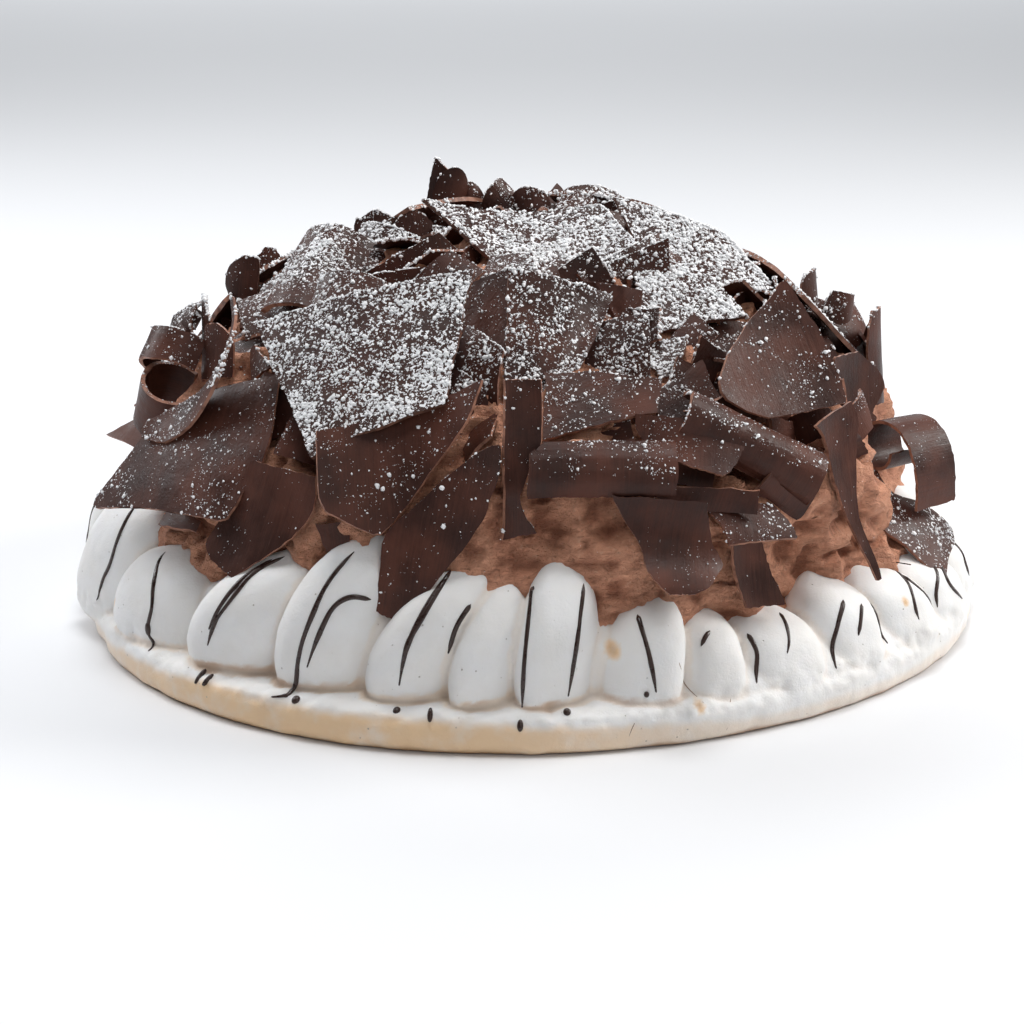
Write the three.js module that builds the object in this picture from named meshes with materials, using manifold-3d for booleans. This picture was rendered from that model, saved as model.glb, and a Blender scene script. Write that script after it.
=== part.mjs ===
// A chocolate vacherin: a crisp meringue case with a ring of leaning piped lobes, heaped with
// chocolate mousse and covered with shards, plates and curls of dark chocolate.
// Millimetres, +Z up. The cake's front is -Y. Angles around the cake are in degrees,
// 0 at the front and growing towards +X.
import * as THREE from "three";
import { mergeVertices } from "three/addons/utils/BufferGeometryUtils.js";
import Module from "manifold-3d";

const wasm = await Module();
wasm.setup();

// ---- driving dimensions ----
const BASE_RADIUS = 145; // the meringue disc, at its widest
const SEAM_RADIUS = 135; // where the lobes stand on the disc
const SEAM_HEIGHT = 12.5;
const FLOOR_HEIGHT = 12; // inside the case
const CASE_INNER_RADIUS = 100;
const CHOCOLATE_THICKNESS = 1.4;
const CLEARANCE = 0.3; // between touching pieces
const BEND_PER_COLUMN = 34; // degrees that a shard turns through before it gets another facet

const radians = (degrees) => (degrees * Math.PI) / 180;
const degreesAlong = (distance, radius) => (180 * distance) / (Math.PI * radius);

// A repeatable hand-made unevenness between -1 and 1.
function uneven(number, kind = 0) {
  const wave = Math.sin(number * 12.9898 + kind * 78.233 + 1.7) * 43758.5453;
  return 2 * (wave - Math.floor(wave)) - 1;
}

function around(degrees, radius, height) {
  const angle = radians(degrees);
  return [radius * Math.sin(angle), -radius * Math.cos(angle), height];
}

// ---- solids ----
function geometryOf(points, triangles) {
  const geometry = new THREE.BufferGeometry();
  geometry.setAttribute("position", new THREE.Float32BufferAttribute(points.flat(), 3));
  geometry.setIndex(triangles);
  return geometry;
}

function solidOf(geometry) {
  const bare = geometry.clone();
  bare.deleteAttribute("normal");
  bare.deleteAttribute("uv");
  const merged = mergeVertices(bare, 1e-4);
  return new wasm.Manifold(
    new wasm.Mesh({
      numProp: 3,
      vertProperties: new Float32Array(merged.attributes.position.array),
      triVerts: new Uint32Array(merged.index.array),
    }),
  );
}

function geometryFrom(solid) {
  const mesh = solid.getMesh();
  const points = [];
  for (let i = 0; i < mesh.numVert; i++) {
    points.push(Array.from(mesh.vertProperties.subarray(i * mesh.numProp, i * mesh.numProp + 3)));
  }
  return geometryOf(points, Array.from(mesh.triVerts));
}

// Triangles for a grid of rings: every ring has the same number of points, and each end of the
// stack is closed by a fan to one pole point.
function closedRings(rings, firstPole, lastPole) {
  const count = rings[0].length;
  const points = [firstPole, ...rings.flat(), lastPole];
  const last = points.length - 1;
  const at = (row, column) => 1 + row * count + (column % count);
  const triangles = [];
  for (let column = 0; column < count; column++) {
    triangles.push(0, at(0, column + 1), at(0, column));
    for (let row = 0; row + 1 < rings.length; row++) {
      const a = at(row, column);
      const b = at(row, column + 1);
      const c = at(row + 1, column + 1);
      const d = at(row + 1, column);
      triangles.push(a, b, c, a, c, d);
    }
    triangles.push(at(rings.length - 1, column), at(rings.length - 1, column + 1), last);
  }
  return geometryOf(points, triangles);
}

// ---- meringue case ----
// Each piped lobe: its width and lean in degrees around the ring, and its height in mm.
// These stand side by side from the left round the front to the right.
const FIRST_LOBE_START = -80;
const FRONT_LOBES = [
  { width: 17, tall: 36, lean: 3 },
  { width: 17, tall: 26, lean: -1 },
  { width: 14, tall: 34, lean: 5 },
  { width: 12, tall: 42, lean: 4 },
  { width: 10.5, tall: 37, lean: 7 },
  { width: 8, tall: 33, lean: 3 },
  { width: 10, tall: 41, lean: 1 },
  { width: 10, tall: 27, lean: 3 },
  { width: 8.5, tall: 20, lean: 5 },
  { width: 12, tall: 18, lean: 7 },
  { width: 11, tall: 23, lean: 7 },
  { width: 12, tall: 20, lean: 6 },
  { width: 12, tall: 18, lean: 5 },
  { width: 14, tall: 17, lean: 4 },
  { width: 14, tall: 21, lean: 3 },
];
const BACK_LOBES = 13;
const SIDE_SPREAD = 5.5; // how far the lobes spread over the disc's ledge at the left and right

function allLobes() {
  const shown = FRONT_LOBES.reduce((sum, lobe) => sum + lobe.width, 0);
  const width = (360 - shown) / BACK_LOBES;
  const lobes = [...FRONT_LOBES];
  for (let i = 0; i < BACK_LOBES; i++) {
    const next = uneven(i + 1, 1) - uneven(i, 1);
    lobes.push({
      width: width + (i + 1 < BACK_LOBES ? next : -uneven(BACK_LOBES - 1, 1) + uneven(0, 1)),
      tall: 28 + 8 * uneven(i, 2),
      lean: 4 + 3 * uneven(i, 3),
    });
  }
  const total = lobes.reduce((sum, lobe) => sum + lobe.width, 0);
  lobes.forEach((lobe) => (lobe.width *= 360 / total));
  return lobes;
}

// The places across a lobe, from the crease it shares with the lobe before to its far flank.
// `fullness` is 0 in the crease and 1 on the lobe's round back.
const LOBE_COLUMNS = [
  { share: 0, fullness: 0 },
  { share: 0.12, fullness: 0.62 },
  { share: 0.36, fullness: 1 },
  { share: 0.64, fullness: 1 },
  { share: 0.88, fullness: 0.62 },
];

// The section of the case, from its outer foot over a lobe and down to the floor inside. Each
// step gives a radius and a height, how far the lean has come and how much the lobe narrows.
function caseSection(tall, fullness, wave, spread) {
  const belly = SEAM_RADIUS - 6 + 0.5 * wave + spread * fullness;
  const seam = SEAM_RADIUS + 0.5 * wave + spread;
  const top = tall * (0.62 + 0.38 * fullness * fullness);
  return [
    { radius: BASE_RADIUS + wave, height: 0, leaned: 0, narrow: 1 },
    { radius: BASE_RADIUS - 0.5 + wave, height: 8, leaned: 0, narrow: 1 },
    { radius: seam, height: SEAM_HEIGHT, leaned: 0, narrow: 1 },
    { radius: belly + 9.5 * fullness, height: SEAM_HEIGHT + 0.18 * tall, leaned: 0.05, narrow: 1 },
    { radius: belly - 1 + 9 * fullness, height: SEAM_HEIGHT + 0.48 * tall, leaned: 0.3, narrow: 0.95 },
    { radius: belly - 5 + 8 * fullness, height: SEAM_HEIGHT + 0.8 * top, leaned: 0.75, narrow: 0.85 },
    { radius: belly - 13 + 3 * fullness, height: SEAM_HEIGHT + top, leaned: 1.1, narrow: 0.6 },
    { radius: CASE_INNER_RADIUS, height: FLOOR_HEIGHT, leaned: 0, narrow: 1 },
  ];
}

function meringueCase(grow = 0) {
  const rings = Array.from({ length: 8 }, () => []);
  const lobes = allLobes();
  let start = FIRST_LOBE_START;
  lobes.forEach((lobe, number) => {
    const before = lobes[(number + lobes.length - 1) % lobes.length];
    for (const { share, fullness } of LOBE_COLUMNS) {
      const inCrease = share === 0;
      const tall = inCrease ? Math.min(lobe.tall, before.tall) : lobe.tall;
      const lean = inCrease ? (lobe.lean + before.lean) / 2 : lobe.lean;
      const angle = start + share * lobe.width;
      const wave = -2 * Math.sin(radians(3 * angle)) + 0.8 * uneven(number, 4);
      const spread = SIDE_SPREAD * Math.abs(Math.sin(radians(angle))) ** 3;
      caseSection(tall, fullness, wave, spread).forEach((step, row) => {
        const across = inCrease ? 0 : 0.5 + (share - 0.5) * step.narrow;
        const place = start + across * lobe.width + lean * step.leaned;
        rings[row].push(around(place, step.radius, step.height));
      });
    }
    start += lobe.width;
  });
  const geometry = closedRings(rings, [0, 0, 0], [0, 0, FLOOR_HEIGHT]);
  return grow ? grown(geometry, grow) : geometry;
}

// The same closed surface moved outwards by a distance along its corner normals.
function grown(geometry, distance) {
  const copy = geometry.clone();
  copy.computeVertexNormals();
  const position = copy.attributes.position;
  const normal = copy.attributes.normal;
  for (let i = 0; i < position.count; i++) {
    position.setXYZ(
      i,
      position.getX(i) + distance * normal.getX(i),
      position.getY(i) + distance * normal.getY(i),
      position.getZ(i) + distance * normal.getZ(i),
    );
  }
  return copy;
}

// ---- chocolate mousse ----
// Half of the heap's section, from the case's floor to the top.
const MOUSSE_SECTION = [
  [99, 12.5],
  [105, 22],
  [113, 34],
  [122, 42],
  [124, 52],
  [121, 62],
  [113, 73],
  [102, 84],
  [87, 95],
  [64, 106],
  [36, 115],
];
const MOUSSE_TOP = 120;
const MOUSSE_COLUMNS = 32;

// Whipped peaks that show between the shards: where each is, how broad, and how far it stands out.
const MOUSSE_PEAKS = [
  { around: 6, height: 79, breadth: 10, out: 9 },
  { around: 8, height: 52, breadth: 16, out: 4 },
  { around: 38, height: 54, breadth: 16, out: 4 },
  { around: -40, height: 54, breadth: 14, out: 3 },
  { around: -62, height: 78, breadth: 18, out: 7 },
  { around: -50, height: 112, breadth: 20, out: 4 },
];

function peakOut(degrees, radius, height) {
  return MOUSSE_PEAKS.reduce((sum, peak) => {
    const across = radians(degrees - peak.around) * radius;
    const distance = Math.hypot(across, height - peak.height) / peak.breadth;
    return sum + peak.out * Math.exp(-distance * distance);
  }, 0);
}

function mousseHeap(grow = 0) {
  const rings = MOUSSE_SECTION.map(([radius, height], row) => {
    const ring = [];
    for (let column = 0; column < MOUSSE_COLUMNS; column++) {
      const angle = (360 * column) / MOUSSE_COLUMNS;
      const signed = angle > 180 ? angle - 360 : angle;
      const lump = 2.2 * uneven(column, row) + 1.6 * Math.sin(radians(5 * angle + 60 * row));
      const out = row < 2 ? 0 : lump + peakOut(signed, radius, height);
      const rise = Math.min(1, Math.max(0, (height - 60) / 50));
      ring.push(around(angle, radius + out * (1 - 0.7 * rise), height + out * (0.2 + 0.7 * rise)));
    }
    return ring;
  });
  const geometry = closedRings(rings, [0, 0, MOUSSE_SECTION[0][1]], [0, 0, MOUSSE_TOP]);
  return grow ? grown(geometry, grow) : geometry;
}

// ---- chocolate shards ----
// A shard is a thin plate. `at` is the middle of its four corners: an angle around the cake, a
// radius and a height. Its face looks towards `turn` degrees around and is tipped up by `tip`
// degrees, and the plate is spun by `spin` in its own plane. `wide` runs round the bend and `tall`
// along it. In `form`, `bend` is the whole angle that it curls through, positive where it bulges
// outwards, and `hook` puts more of it at one side. `taper` widens its upper end, `skew` leans it,
// `slant` lengthens its right side, and `point` narrows its lower end to a tongue.
function shard(name, at, [turn, tip, spin], [wide, tall], form = {}) {
  return { name, at, turn, tip, spin, wide, tall, ...form };
}

// They are listed from the outermost inwards: each one stops where an earlier one lies.
const SHARDS = [
  // round the front, from left to right
  shard("slab_front_left", [-27, 100, 100], [-25, 45, 26], [55, 50],
    { bend: 15, taper: 0.26, slant: -0.1 }),
  shard("slab_front_low", [-20, 120, 75], [-15, 20, 11], [43, 28],
    { bend: -60, taper: 0.62, skew: 0.95, slant: 0.25 }),
  shard("splinter_front_long", [-12, 127, 58], [-10, 12, -9], [12, 53],
    { bend: 12, taper: -0.15, skew: 0.4 }),
  shard("curl_front_upright", [-1, 117, 79], [15, 5, -4], [15, 45], { bend: 140, taper: 0.1 }),
  shard("roll_front", [10, 119, 76], [5, 30, -93], [19, 42], { bend: 120, taper: 0.1, skew: -0.1 }),
  shard("tongue_front", [18, 131, 56], [15, 18, -12], [31, 31], { bend: 30, skew: -0.25, point: 0.9 }),
  shard("strip_front_right", [24, 125, 66], [8, 5, -5], [30, 7], { bend: -25, taper: 0.35, skew: -1.5 }),
  shard("plate_low_right", [30, 126, 58], [25, 45, -7], [21, 13],
    { bend: 15, taper: -0.1, skew: -0.7, slant: -0.3 }),
  shard("shard_low_right", [31, 127, 43], [28, 15, -3], [14, 21], { bend: 20, skew: -0.3 }),
  shard("chip_front_right", [23, 116, 70], [15, 25, -15], [16, 12], { bend: -20 }),
  shard("shard_front_right", [23, 114, 77], [10, 30, -22], [31, 14],
    { bend: 10, taper: 0.1, skew: -0.15, slant: 0.25 }),
  shard("roll_right_long", [33, 115, 76], [35, 40, 53], [26, 46], { bend: 200, taper: -0.1 }),
  shard("roll_right_under", [38, 120, 67], [35, 15, 55], [24, 18], { bend: 130 }),
  shard("slab_right_tall", [43, 105, 100], [25, 30, 6], [36, 31],
    { bend: -35, taper: -0.25, skew: 0.3, slant: 0.3 }),
  shard("blade_right", [47, 130, 60], [35, 12, 5], [10, 53], { bend: -25, taper: 0.7, skew: -0.1 }),
  shard("plate_right_rim", [70, 129, 40], [50, 45, -48], [29, 27], { bend: -25, taper: 0.1, skew: -0.1 }),
  shard("ring_right", [77, 120, 46], [130, 90, 0], [68, 19], { bend: 350, hook: 0.8 }),
  // the left side
  shard("tongue_left_long", [-60, 117, 89], [-50, 45, 93], [50, 14], { bend: -60, skew: 0.2, slant: -0.5 }),
  shard("slab_left", [-57, 119, 71], [-50, 35, 16], [51, 39],
    { bend: 20, taper: -0.58, skew: 0.6, slant: 0.1 }),
  shard("plate_left_low", [-38, 128, 57], [-35, 18, -10], [21, 31], { bend: 10, taper: 0.15, skew: 0.4 }),
  shard("chip_left_low", [-57, 123, 48], [-55, 45, 16], [20, 12], { slant: 0.2 }),
  shard("shard_left_shadow", [-42, 107, 80], [-30, 30, 0], [17, 28], { skew: -0.35 }),
  shard("ring_left", [-73, 109, 75], [-60, 0, -30], [54, 17], { bend: 330 }),
  shard("arch_left", [-74, 113, 88], [-55, 35, 14], [34, 11], { bend: 190, hook: -0.3 }),
  shard("petal_left_small", [-66, 105, 92], [-60, 10, 15], [20, 16], { bend: 20, taper: 0.15, skew: -0.1 }),
  shard("petal_left_tall", [-86, 91, 105], [-40, 12, 9], [12, 21],
    { bend: 40, taper: 0.3, skew: -0.3, point: 0.7 }),
  shard("petal_left_back", [-109, 91, 104], [-25, 8, 20], [13, 15], { bend: 40, skew: -0.2 }),
  // the top
  shard("plate_top", [17, 25, 124], [5, 59, 3], [51, 35], { bend: -30, taper: 0.15, skew: -0.6 }),
  shard("plate_upper_left", [-53, 43, 116], [-10, 15, 25], [28, 12], { bend: 30, skew: -0.5, slant: 0.2 }),
  shard("band_upper_left", [-47, 52, 111], [-15, 10, 13], [47, 12],
    { bend: 30, skew: -0.15, slant: -0.15 }),
  shard("arch_upper_left", [-70, 70, 111], [-20, 60, -1], [30, 38], { bend: 120, taper: 0.1, skew: -0.1 }),
  shard("plate_back_left", [-110, 71, 110], [-20, 30, 18], [25, 9], { bend: 60, skew: -0.5 }),
  shard("petal_back_one", [-120, 59, 115], [-15, 5, 15], [13, 15], { bend: 40, taper: 0.2, slant: 0.2 }),
  shard("petal_back_two", [-104, 40, 119], [-5, 10, 10], [12, 14], { bend: -40, taper: 0.3, skew: 0.5 }),
  shard("slab_upper_middle", [5, 80, 107], [20, 35, -4], [28, 32],
    { bend: 25, taper: 0.15, skew: 0.35, slant: -0.25 }),
  shard("shard_upper_dark", [-10, 73, 106], [-35, 30, 0], [17, 32],
    { taper: -0.1, skew: -0.3, slant: 0.25 }),
  shard("wave_under_top", [21, 60, 111], [10, 15, -10], [28, 11], { bend: 90, taper: 0.5, skew: -1.3 }),
  shard("roll_upper_front", [12, 102, 91], [5, 45, 4], [34, 17], { bend: 20, skew: 0.2, slant: -0.3 }),
  shard("shard_upper_front", [25, 81, 98], [10, 55, 0], [25, 14], { bend: -35, taper: 0.2, point: 0.6 }),
  shard("plate_upper_right", [47, 65, 110], [15, 55, 10], [28, 24], { bend: 12, taper: -0.2 }),
  shard("shard_upper_right", [28, 97, 89], [15, 45, 25], [22, 12], { skew: 0.25, slant: 0.2 }),
  shard("slab_top_right", [80, 55, 116], [20, 50, -10], [36, 34], { bend: 12, skew: -0.4, slant: -0.4 }),
  shard("plate_top_back", [152, 35, 121], [10, 45, 23], [12, 26], { taper: -0.1, skew: -0.25, slant: 0.2 }),
  shard("spike_top", [-144, 46, 124], [-5, 5, 7], [14, 31], { bend: 60, taper: -0.3 }),
  shard("plate_right_back", [99, 107, 88], [30, 45, 10], [25, 18], { bend: 20, skew: 0.4, slant: -0.3 }),
  shard("curl_right_back", [93, 114, 82], [70, 14, -14], [26, 28], { bend: 70, slant: 0.2 }),
  shard("shard_right_middle", [81, 109, 77], [45, 8, 9], [17, 20],
    { taper: 0.15, skew: -0.4, slant: -0.25 }),
];

// The far side, which the same hand covered in the same way. Each clump is two plates that
// lean across each other and are one solid, laid out in tiers from the lowest to the highest.
const BACK_TIERS = [
  { name: "lower", clumps: 5, from: 111, to: 250, radius: 115, height: 73, tip: 40 },
  { name: "middle", clumps: 4, from: 105, to: 254, radius: 93, height: 95, tip: 54 },
  { name: "upper", clumps: 2, from: 148, to: 222, radius: 52, height: 115, tip: 70 },
];

// How far each plate of a clump lies along the tier and up, and its own turns and size.
const CLUMP_PLATES = [
  { along: -8, up: 0, turn: -6, tip: -8, spin: 8, wide: 44, tall: 40, bend: 25, taper: 0.2 },
  { along: 13, up: 4, turn: 12, tip: 9, spin: 42, wide: 28, tall: 44, bend: -45, taper: -0.2 },
];

function backClumps() {
  const clumps = [];
  BACK_TIERS.forEach((tier, level) => {
    for (let i = 0; i < tier.clumps; i++) {
      const number = 10 * level + i;
      const side = i % 2 ? -1 : 1;
      const at = tier.from + ((tier.to - tier.from) * i) / (tier.clumps - 1) + 4 * uneven(number, 5);
      const plates = CLUMP_PLATES.map((part, k) => ({
        at: [
          at + side * degreesAlong(part.along, tier.radius),
          tier.radius,
          tier.height + part.up + 3 * uneven(number, 6 + k),
        ],
        turn: at + side * part.turn + 10 * uneven(number, 9 + k),
        tip: tier.tip + part.tip + 4 * uneven(number, 12 + k),
        spin: side * part.spin + 20 * uneven(number, 15 + k),
        wide: part.wide + 5 * uneven(number, 18 + k),
        tall: part.tall + 6 * uneven(number, 21 + k),
        bend: part.bend,
        taper: part.taper,
        skew: 0.3 * uneven(number, 24 + k),
      }));
      clumps.push({ name: `clump_back_${tier.name}_${i + 1}`, plates });
    }
  });
  return clumps;
}

// A shard's plate in its own frame: the bend runs along x, the straight lines along y, and its
// face looks along +z. The four corners' middle is the origin.
function plate(shard, grow = 0) {
  const { wide, tall, bend = 0, hook = 0, taper = 0, skew = 0, slant = 0, point = 0 } = shard;
  const columns = 2 + Math.round(Math.abs(bend) / BEND_PER_COLUMN);
  const rows = point ? 3 : 1;
  const heading = (along) => radians(bend) * (along / wide) * (1 + (hook * along) / wide);
  const bent = (along) => {
    const steps = 12;
    let x = 0;
    let z = 0;
    for (let i = 0; i < steps; i++) {
      const turned = heading((along * (i + 0.5)) / steps);
      x += (Math.cos(turned) * along) / steps;
      z -= (Math.sin(turned) * along) / steps;
    }
    return [x, z];
  };
  const middle = (bent(wide / 2)[1] + bent(-wide / 2)[1]) / 2;
  const halfThickness = CHOCOLATE_THICKNESS / 2 + grow;
  const place = (u, v, side) => {
    const narrowing = v < 0 ? Math.sqrt(1 - 0.94 * point * v * v) : 1;
    const along = (wide / 2 + grow) * u * (1 + taper * v) * narrowing + (skew * v * tall) / 2;
    const [x, z] = bent(along);
    const turned = heading(along);
    const lift = side * halfThickness;
    const up = v * (tall / 2 + grow) * (1 + slant * u);
    return [x + lift * Math.sin(turned), up, z - middle + lift * Math.cos(turned)];
  };
  const points = [];
  const index = (column, row, side) => ((side > 0 ? 1 : 0) * (rows + 1) + row) * (columns + 1) + column;
  for (const side of [-1, 1]) {
    for (let row = 0; row <= rows; row++) {
      for (let column = 0; column <= columns; column++) {
        points.push(place((2 * column) / columns - 1, (2 * row) / rows - 1, side));
      }
    }
  }
  const triangles = [];
  const quad = (a, b, c, d) => triangles.push(a, b, c, a, c, d);
  const rimAlong = (from, to) => quad(index(...to, 1), index(...to, -1), index(...from, -1), index(...from, 1));
  for (let row = 0; row < rows; row++) {
    for (let column = 0; column < columns; column++) {
      const [a, b, c, d] = [[0, 0], [1, 0], [1, 1], [0, 1]].map(([i, j]) => [column + i, row + j]);
      quad(index(...a, 1), index(...b, 1), index(...c, 1), index(...d, 1));
      quad(index(...d, -1), index(...c, -1), index(...b, -1), index(...a, -1));
    }
    rimAlong([columns, row + 1], [columns, row]);
    rimAlong([0, row], [0, row + 1]);
  }
  for (let column = 0; column < columns; column++) {
    rimAlong([column + 1, 0], [column, 0]);
    rimAlong([column, rows], [column + 1, rows]);
  }
  return geometryOf(points, triangles);
}

// From the plate's own frame to the cake's.
function placement({ at, turn, tip, spin }) {
  return new THREE.Matrix4()
    .makeRotationZ(radians(turn))
    .multiply(new THREE.Matrix4().makeRotationX(radians(90 - tip)))
    .multiply(new THREE.Matrix4().makeRotationZ(radians(spin)))
    .setPosition(...around(...at));
}

const shardSolid = (shard, grow) => solidOf(plate(shard, grow).applyMatrix4(placement(shard)));

function largestPiece(solid) {
  return solid.decompose().reduce((best, piece) => (piece.volume() > best.volume() ? piece : best));
}

function boxesMeet(a, b) {
  return [0, 1, 2].every((axis) => a.min[axis] < b.max[axis] && b.min[axis] < a.max[axis]);
}

// Every shard stops just short of the case, the mousse and the shards laid before it.
function laidShards(blockers) {
  const laid = [];
  const alone = SHARDS.map((shard) => ({ name: shard.name, plates: [shard] }));
  for (const { name, plates } of [...alone, ...backClumps()]) {
    let solid = plates.map((shard) => shardSolid(shard, 0)).reduce((joined, next) => joined.add(next));
    for (const blocker of blockers) {
      if (boxesMeet(solid.boundingBox(), blocker.boundingBox())) solid = solid.subtract(blocker);
    }
    blockers.push(...plates.map((shard) => shardSolid(shard, CLEARANCE)));
    laid.push({ name, solid: largestPiece(solid) });
  }
  return laid;
}

// ---- the cake ----
const MERINGUE = { color: 0xf1ebe2, roughness: 0.75, metalness: 0 };
const MOUSSE = { color: 0x8a5236, roughness: 0.8, metalness: 0 };
const CHOCOLATE = { color: 0x3a1f18, roughness: 0.4, metalness: 0 };

function named(name, geometry, look) {
  const mesh = new THREE.Mesh(geometry, new THREE.MeshStandardMaterial(look));
  mesh.name = name;
  return mesh;
}

const caseGrown = solidOf(meringueCase(CLEARANCE));
const mousse = largestPiece(solidOf(mousseHeap()).subtract(caseGrown));
const shards = laidShards([caseGrown, solidOf(mousseHeap(CLEARANCE))]);

const pieces = new THREE.Group();
pieces.add(named("meringue_case", meringueCase(), MERINGUE));
pieces.add(named("chocolate_mousse", geometryFrom(mousse), MOUSSE));
for (const { name, solid } of shards) pieces.add(named(name, geometryFrom(solid), CHOCOLATE));

// The cake stands on z = 0 with the middle of its box over the origin.
const box = new THREE.Box3().setFromObject(pieces);
const middle = box.getCenter(new THREE.Vector3());
pieces.position.set(-middle.x, -middle.y, -box.min.z);

const cake = new THREE.Group();
cake.name = "vacherin_cake";
cake.add(pieces);

export default cake;
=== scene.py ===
"""Looks for the chocolate vacherin.

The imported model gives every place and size. The meringue, the mousse and each chocolate piece are
rebuilt here as fine meshes that stand for their solids, and the drizzle, the small curls and the
icing sugar are added. Lengths are in millimetres until a mesh is made. Angles around the cake are
in degrees, 0 at its front (-Y) and growing towards +X.
"""

import math

import bmesh
import bpy
import numpy as np
from mathutils import Euler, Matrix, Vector
from mathutils.bvhtree import BVHTree


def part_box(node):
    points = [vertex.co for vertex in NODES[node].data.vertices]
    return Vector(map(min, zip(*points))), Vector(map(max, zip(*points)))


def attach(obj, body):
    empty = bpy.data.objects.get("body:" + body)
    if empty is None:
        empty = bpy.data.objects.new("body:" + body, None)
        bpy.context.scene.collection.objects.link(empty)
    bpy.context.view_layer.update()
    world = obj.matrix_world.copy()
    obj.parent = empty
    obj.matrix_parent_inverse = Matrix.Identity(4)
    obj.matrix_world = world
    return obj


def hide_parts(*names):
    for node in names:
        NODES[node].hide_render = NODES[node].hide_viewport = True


MM = 0.001
TINY = 1e-12  # keeps a division by a length from being by nothing

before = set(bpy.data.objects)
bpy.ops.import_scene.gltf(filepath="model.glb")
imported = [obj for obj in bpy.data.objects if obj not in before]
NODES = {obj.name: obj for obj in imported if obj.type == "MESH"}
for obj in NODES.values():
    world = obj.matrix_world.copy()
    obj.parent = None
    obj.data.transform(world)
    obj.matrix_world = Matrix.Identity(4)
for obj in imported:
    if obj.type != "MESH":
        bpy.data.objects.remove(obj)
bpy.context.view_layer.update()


# ---- unevenness ----
def uneven(number, kind=0):
    """A repeatable hand-made unevenness between -1 and 1, the same as the solids have."""
    wave = np.sin(number * 12.9898 + kind * 78.233 + 1.7) * 43758.5453
    return 2 * (wave - np.floor(wave)) - 1


def lattice_value(cell, seed):
    """A repeatable value between -1 and 1 for each whole-numbered cell, by stirring large primes."""
    mixed = cell @ np.array([73856093, 19349663, 83492791]) + 7919 * seed
    mixed = (mixed ^ (mixed >> 13)) * 1274126177 & 0x7FFFFFFF
    mixed = (mixed ^ (mixed >> 15)) * 668265263 & 0x7FFFFFFF
    return (mixed >> 8) / 0x3FFFFF - 1


def noise(points, size, seed=0):
    """Smooth noise between about -1 and 1, in lumps of this size."""
    scaled = np.asarray(points) / size
    cell = np.floor(scaled).astype(np.int64)
    part = scaled - cell
    part = part * part * (3 - 2 * part)
    total = 0.0
    for corner in np.ndindex(2, 2, 2):
        weight = np.prod(np.where(corner, part, 1 - part), axis=-1)
        total = total + weight * lattice_value(cell + np.array(corner), seed)
    return total


def rough(points, size, octaves=3, seed=0):
    """Noise with finer and finer lumps added to it."""
    return sum(0.5**k * noise(points, size / 2**k, seed + k) for k in range(octaves))


def layered(points, *layers):
    """Noise of several sizes added up. A layer is how much, the size of its lumps, and a seed."""
    return sum(much * noise(points, size, seed) for much, size, seed in layers)


def ramp(values, start, end):
    """0 before start, 1 after end, and smooth between."""
    share = np.clip((values - start) / (end - start), 0, 1)
    return share * share * (3 - 2 * share)


def unit(vectors):
    """The same directions with a length of 1."""
    return vectors / np.maximum(np.linalg.norm(vectors, axis=-1, keepdims=True), TINY)


# ---- places ----
def points_of(mesh):
    """A mesh's points in millimetres."""
    flat = np.empty(3 * len(mesh.vertices), np.float32)
    mesh.vertices.foreach_get("co", flat)
    return flat.reshape(-1, 3).astype(float) / MM


def box_of(node):
    """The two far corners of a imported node's box, in millimetres."""
    return [np.array(corner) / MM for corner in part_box(node)]


FLOOR_HEIGHT = 12  # the flat inside of the case, under the mousse
case_points = points_of(NODES["meringue_case"].data)
floor_points = case_points[np.abs(case_points[:, 2] - FLOOR_HEIGHT) < 0.01]
AXIS = (floor_points.min(0) + floor_points.max(0))[:2] / 2  # the middle of the cake's rings


def around(degrees, radius, height):
    """Points at these angles around the cake's axis."""
    angle = np.radians(degrees)
    x = AXIS[0] + radius * np.sin(angle)
    y = AXIS[1] - radius * np.cos(angle)
    return np.stack(np.broadcast_arrays(x, y, height), -1)


def full_turn(count):
    """Evenly spaced angles all the way round, in radians."""
    return np.linspace(0, 2 * np.pi, count, endpoint=False)


def polar(points):
    """Angle around in degrees, radius and height of points."""
    x = points[..., 0] - AXIS[0]
    y = points[..., 1] - AXIS[1]
    return np.degrees(np.arctan2(x, -y)), np.hypot(x, y), points[..., 2]


# ---- meshes ----
def mesh_of(name, points, faces, attributes=None):
    """A smooth-shaded mesh from points in millimetres and faces that all have as many corners."""
    faces = np.asarray(faces, np.int32)
    mesh = bpy.data.meshes.new(name)
    mesh.vertices.add(len(points))
    mesh.vertices.foreach_set("co", (np.asarray(points) * MM).astype(np.float32).ravel())
    mesh.loops.add(faces.size)
    mesh.loops.foreach_set("vertex_index", faces.ravel())
    mesh.polygons.add(len(faces))
    mesh.polygons.foreach_set("loop_start", np.arange(0, faces.size, faces.shape[1], dtype=np.int32))
    mesh.update(calc_edges=True)
    mesh.shade_smooth()
    for label, values in (attributes or {}).items():
        domain = "POINT" if len(values) == len(points) else "FACE"
        layer = mesh.attributes.new(label, "FLOAT", domain)
        layer.data.foreach_set("value", np.asarray(values, np.float32))
    return mesh


def piece(name, mesh, material, stands_for=()):
    """A visible piece of the cake, which rides on the cake's one body."""
    made = bpy.data.objects.new(name, mesh)
    bpy.context.scene.collection.objects.link(made)
    mesh.materials.append(material)
    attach(made, "root")
    if stands_for:
        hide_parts(*stands_for)
    return made


def joined(parts):
    """Several (points, faces) as one."""
    points = np.concatenate([part[0] for part in parts])
    starts = np.cumsum([0] + [len(part[0]) for part in parts[:-1]])
    faces = np.concatenate([np.asarray(part[1]) + start for part, start in zip(parts, starts)])
    return points, faces


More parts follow.
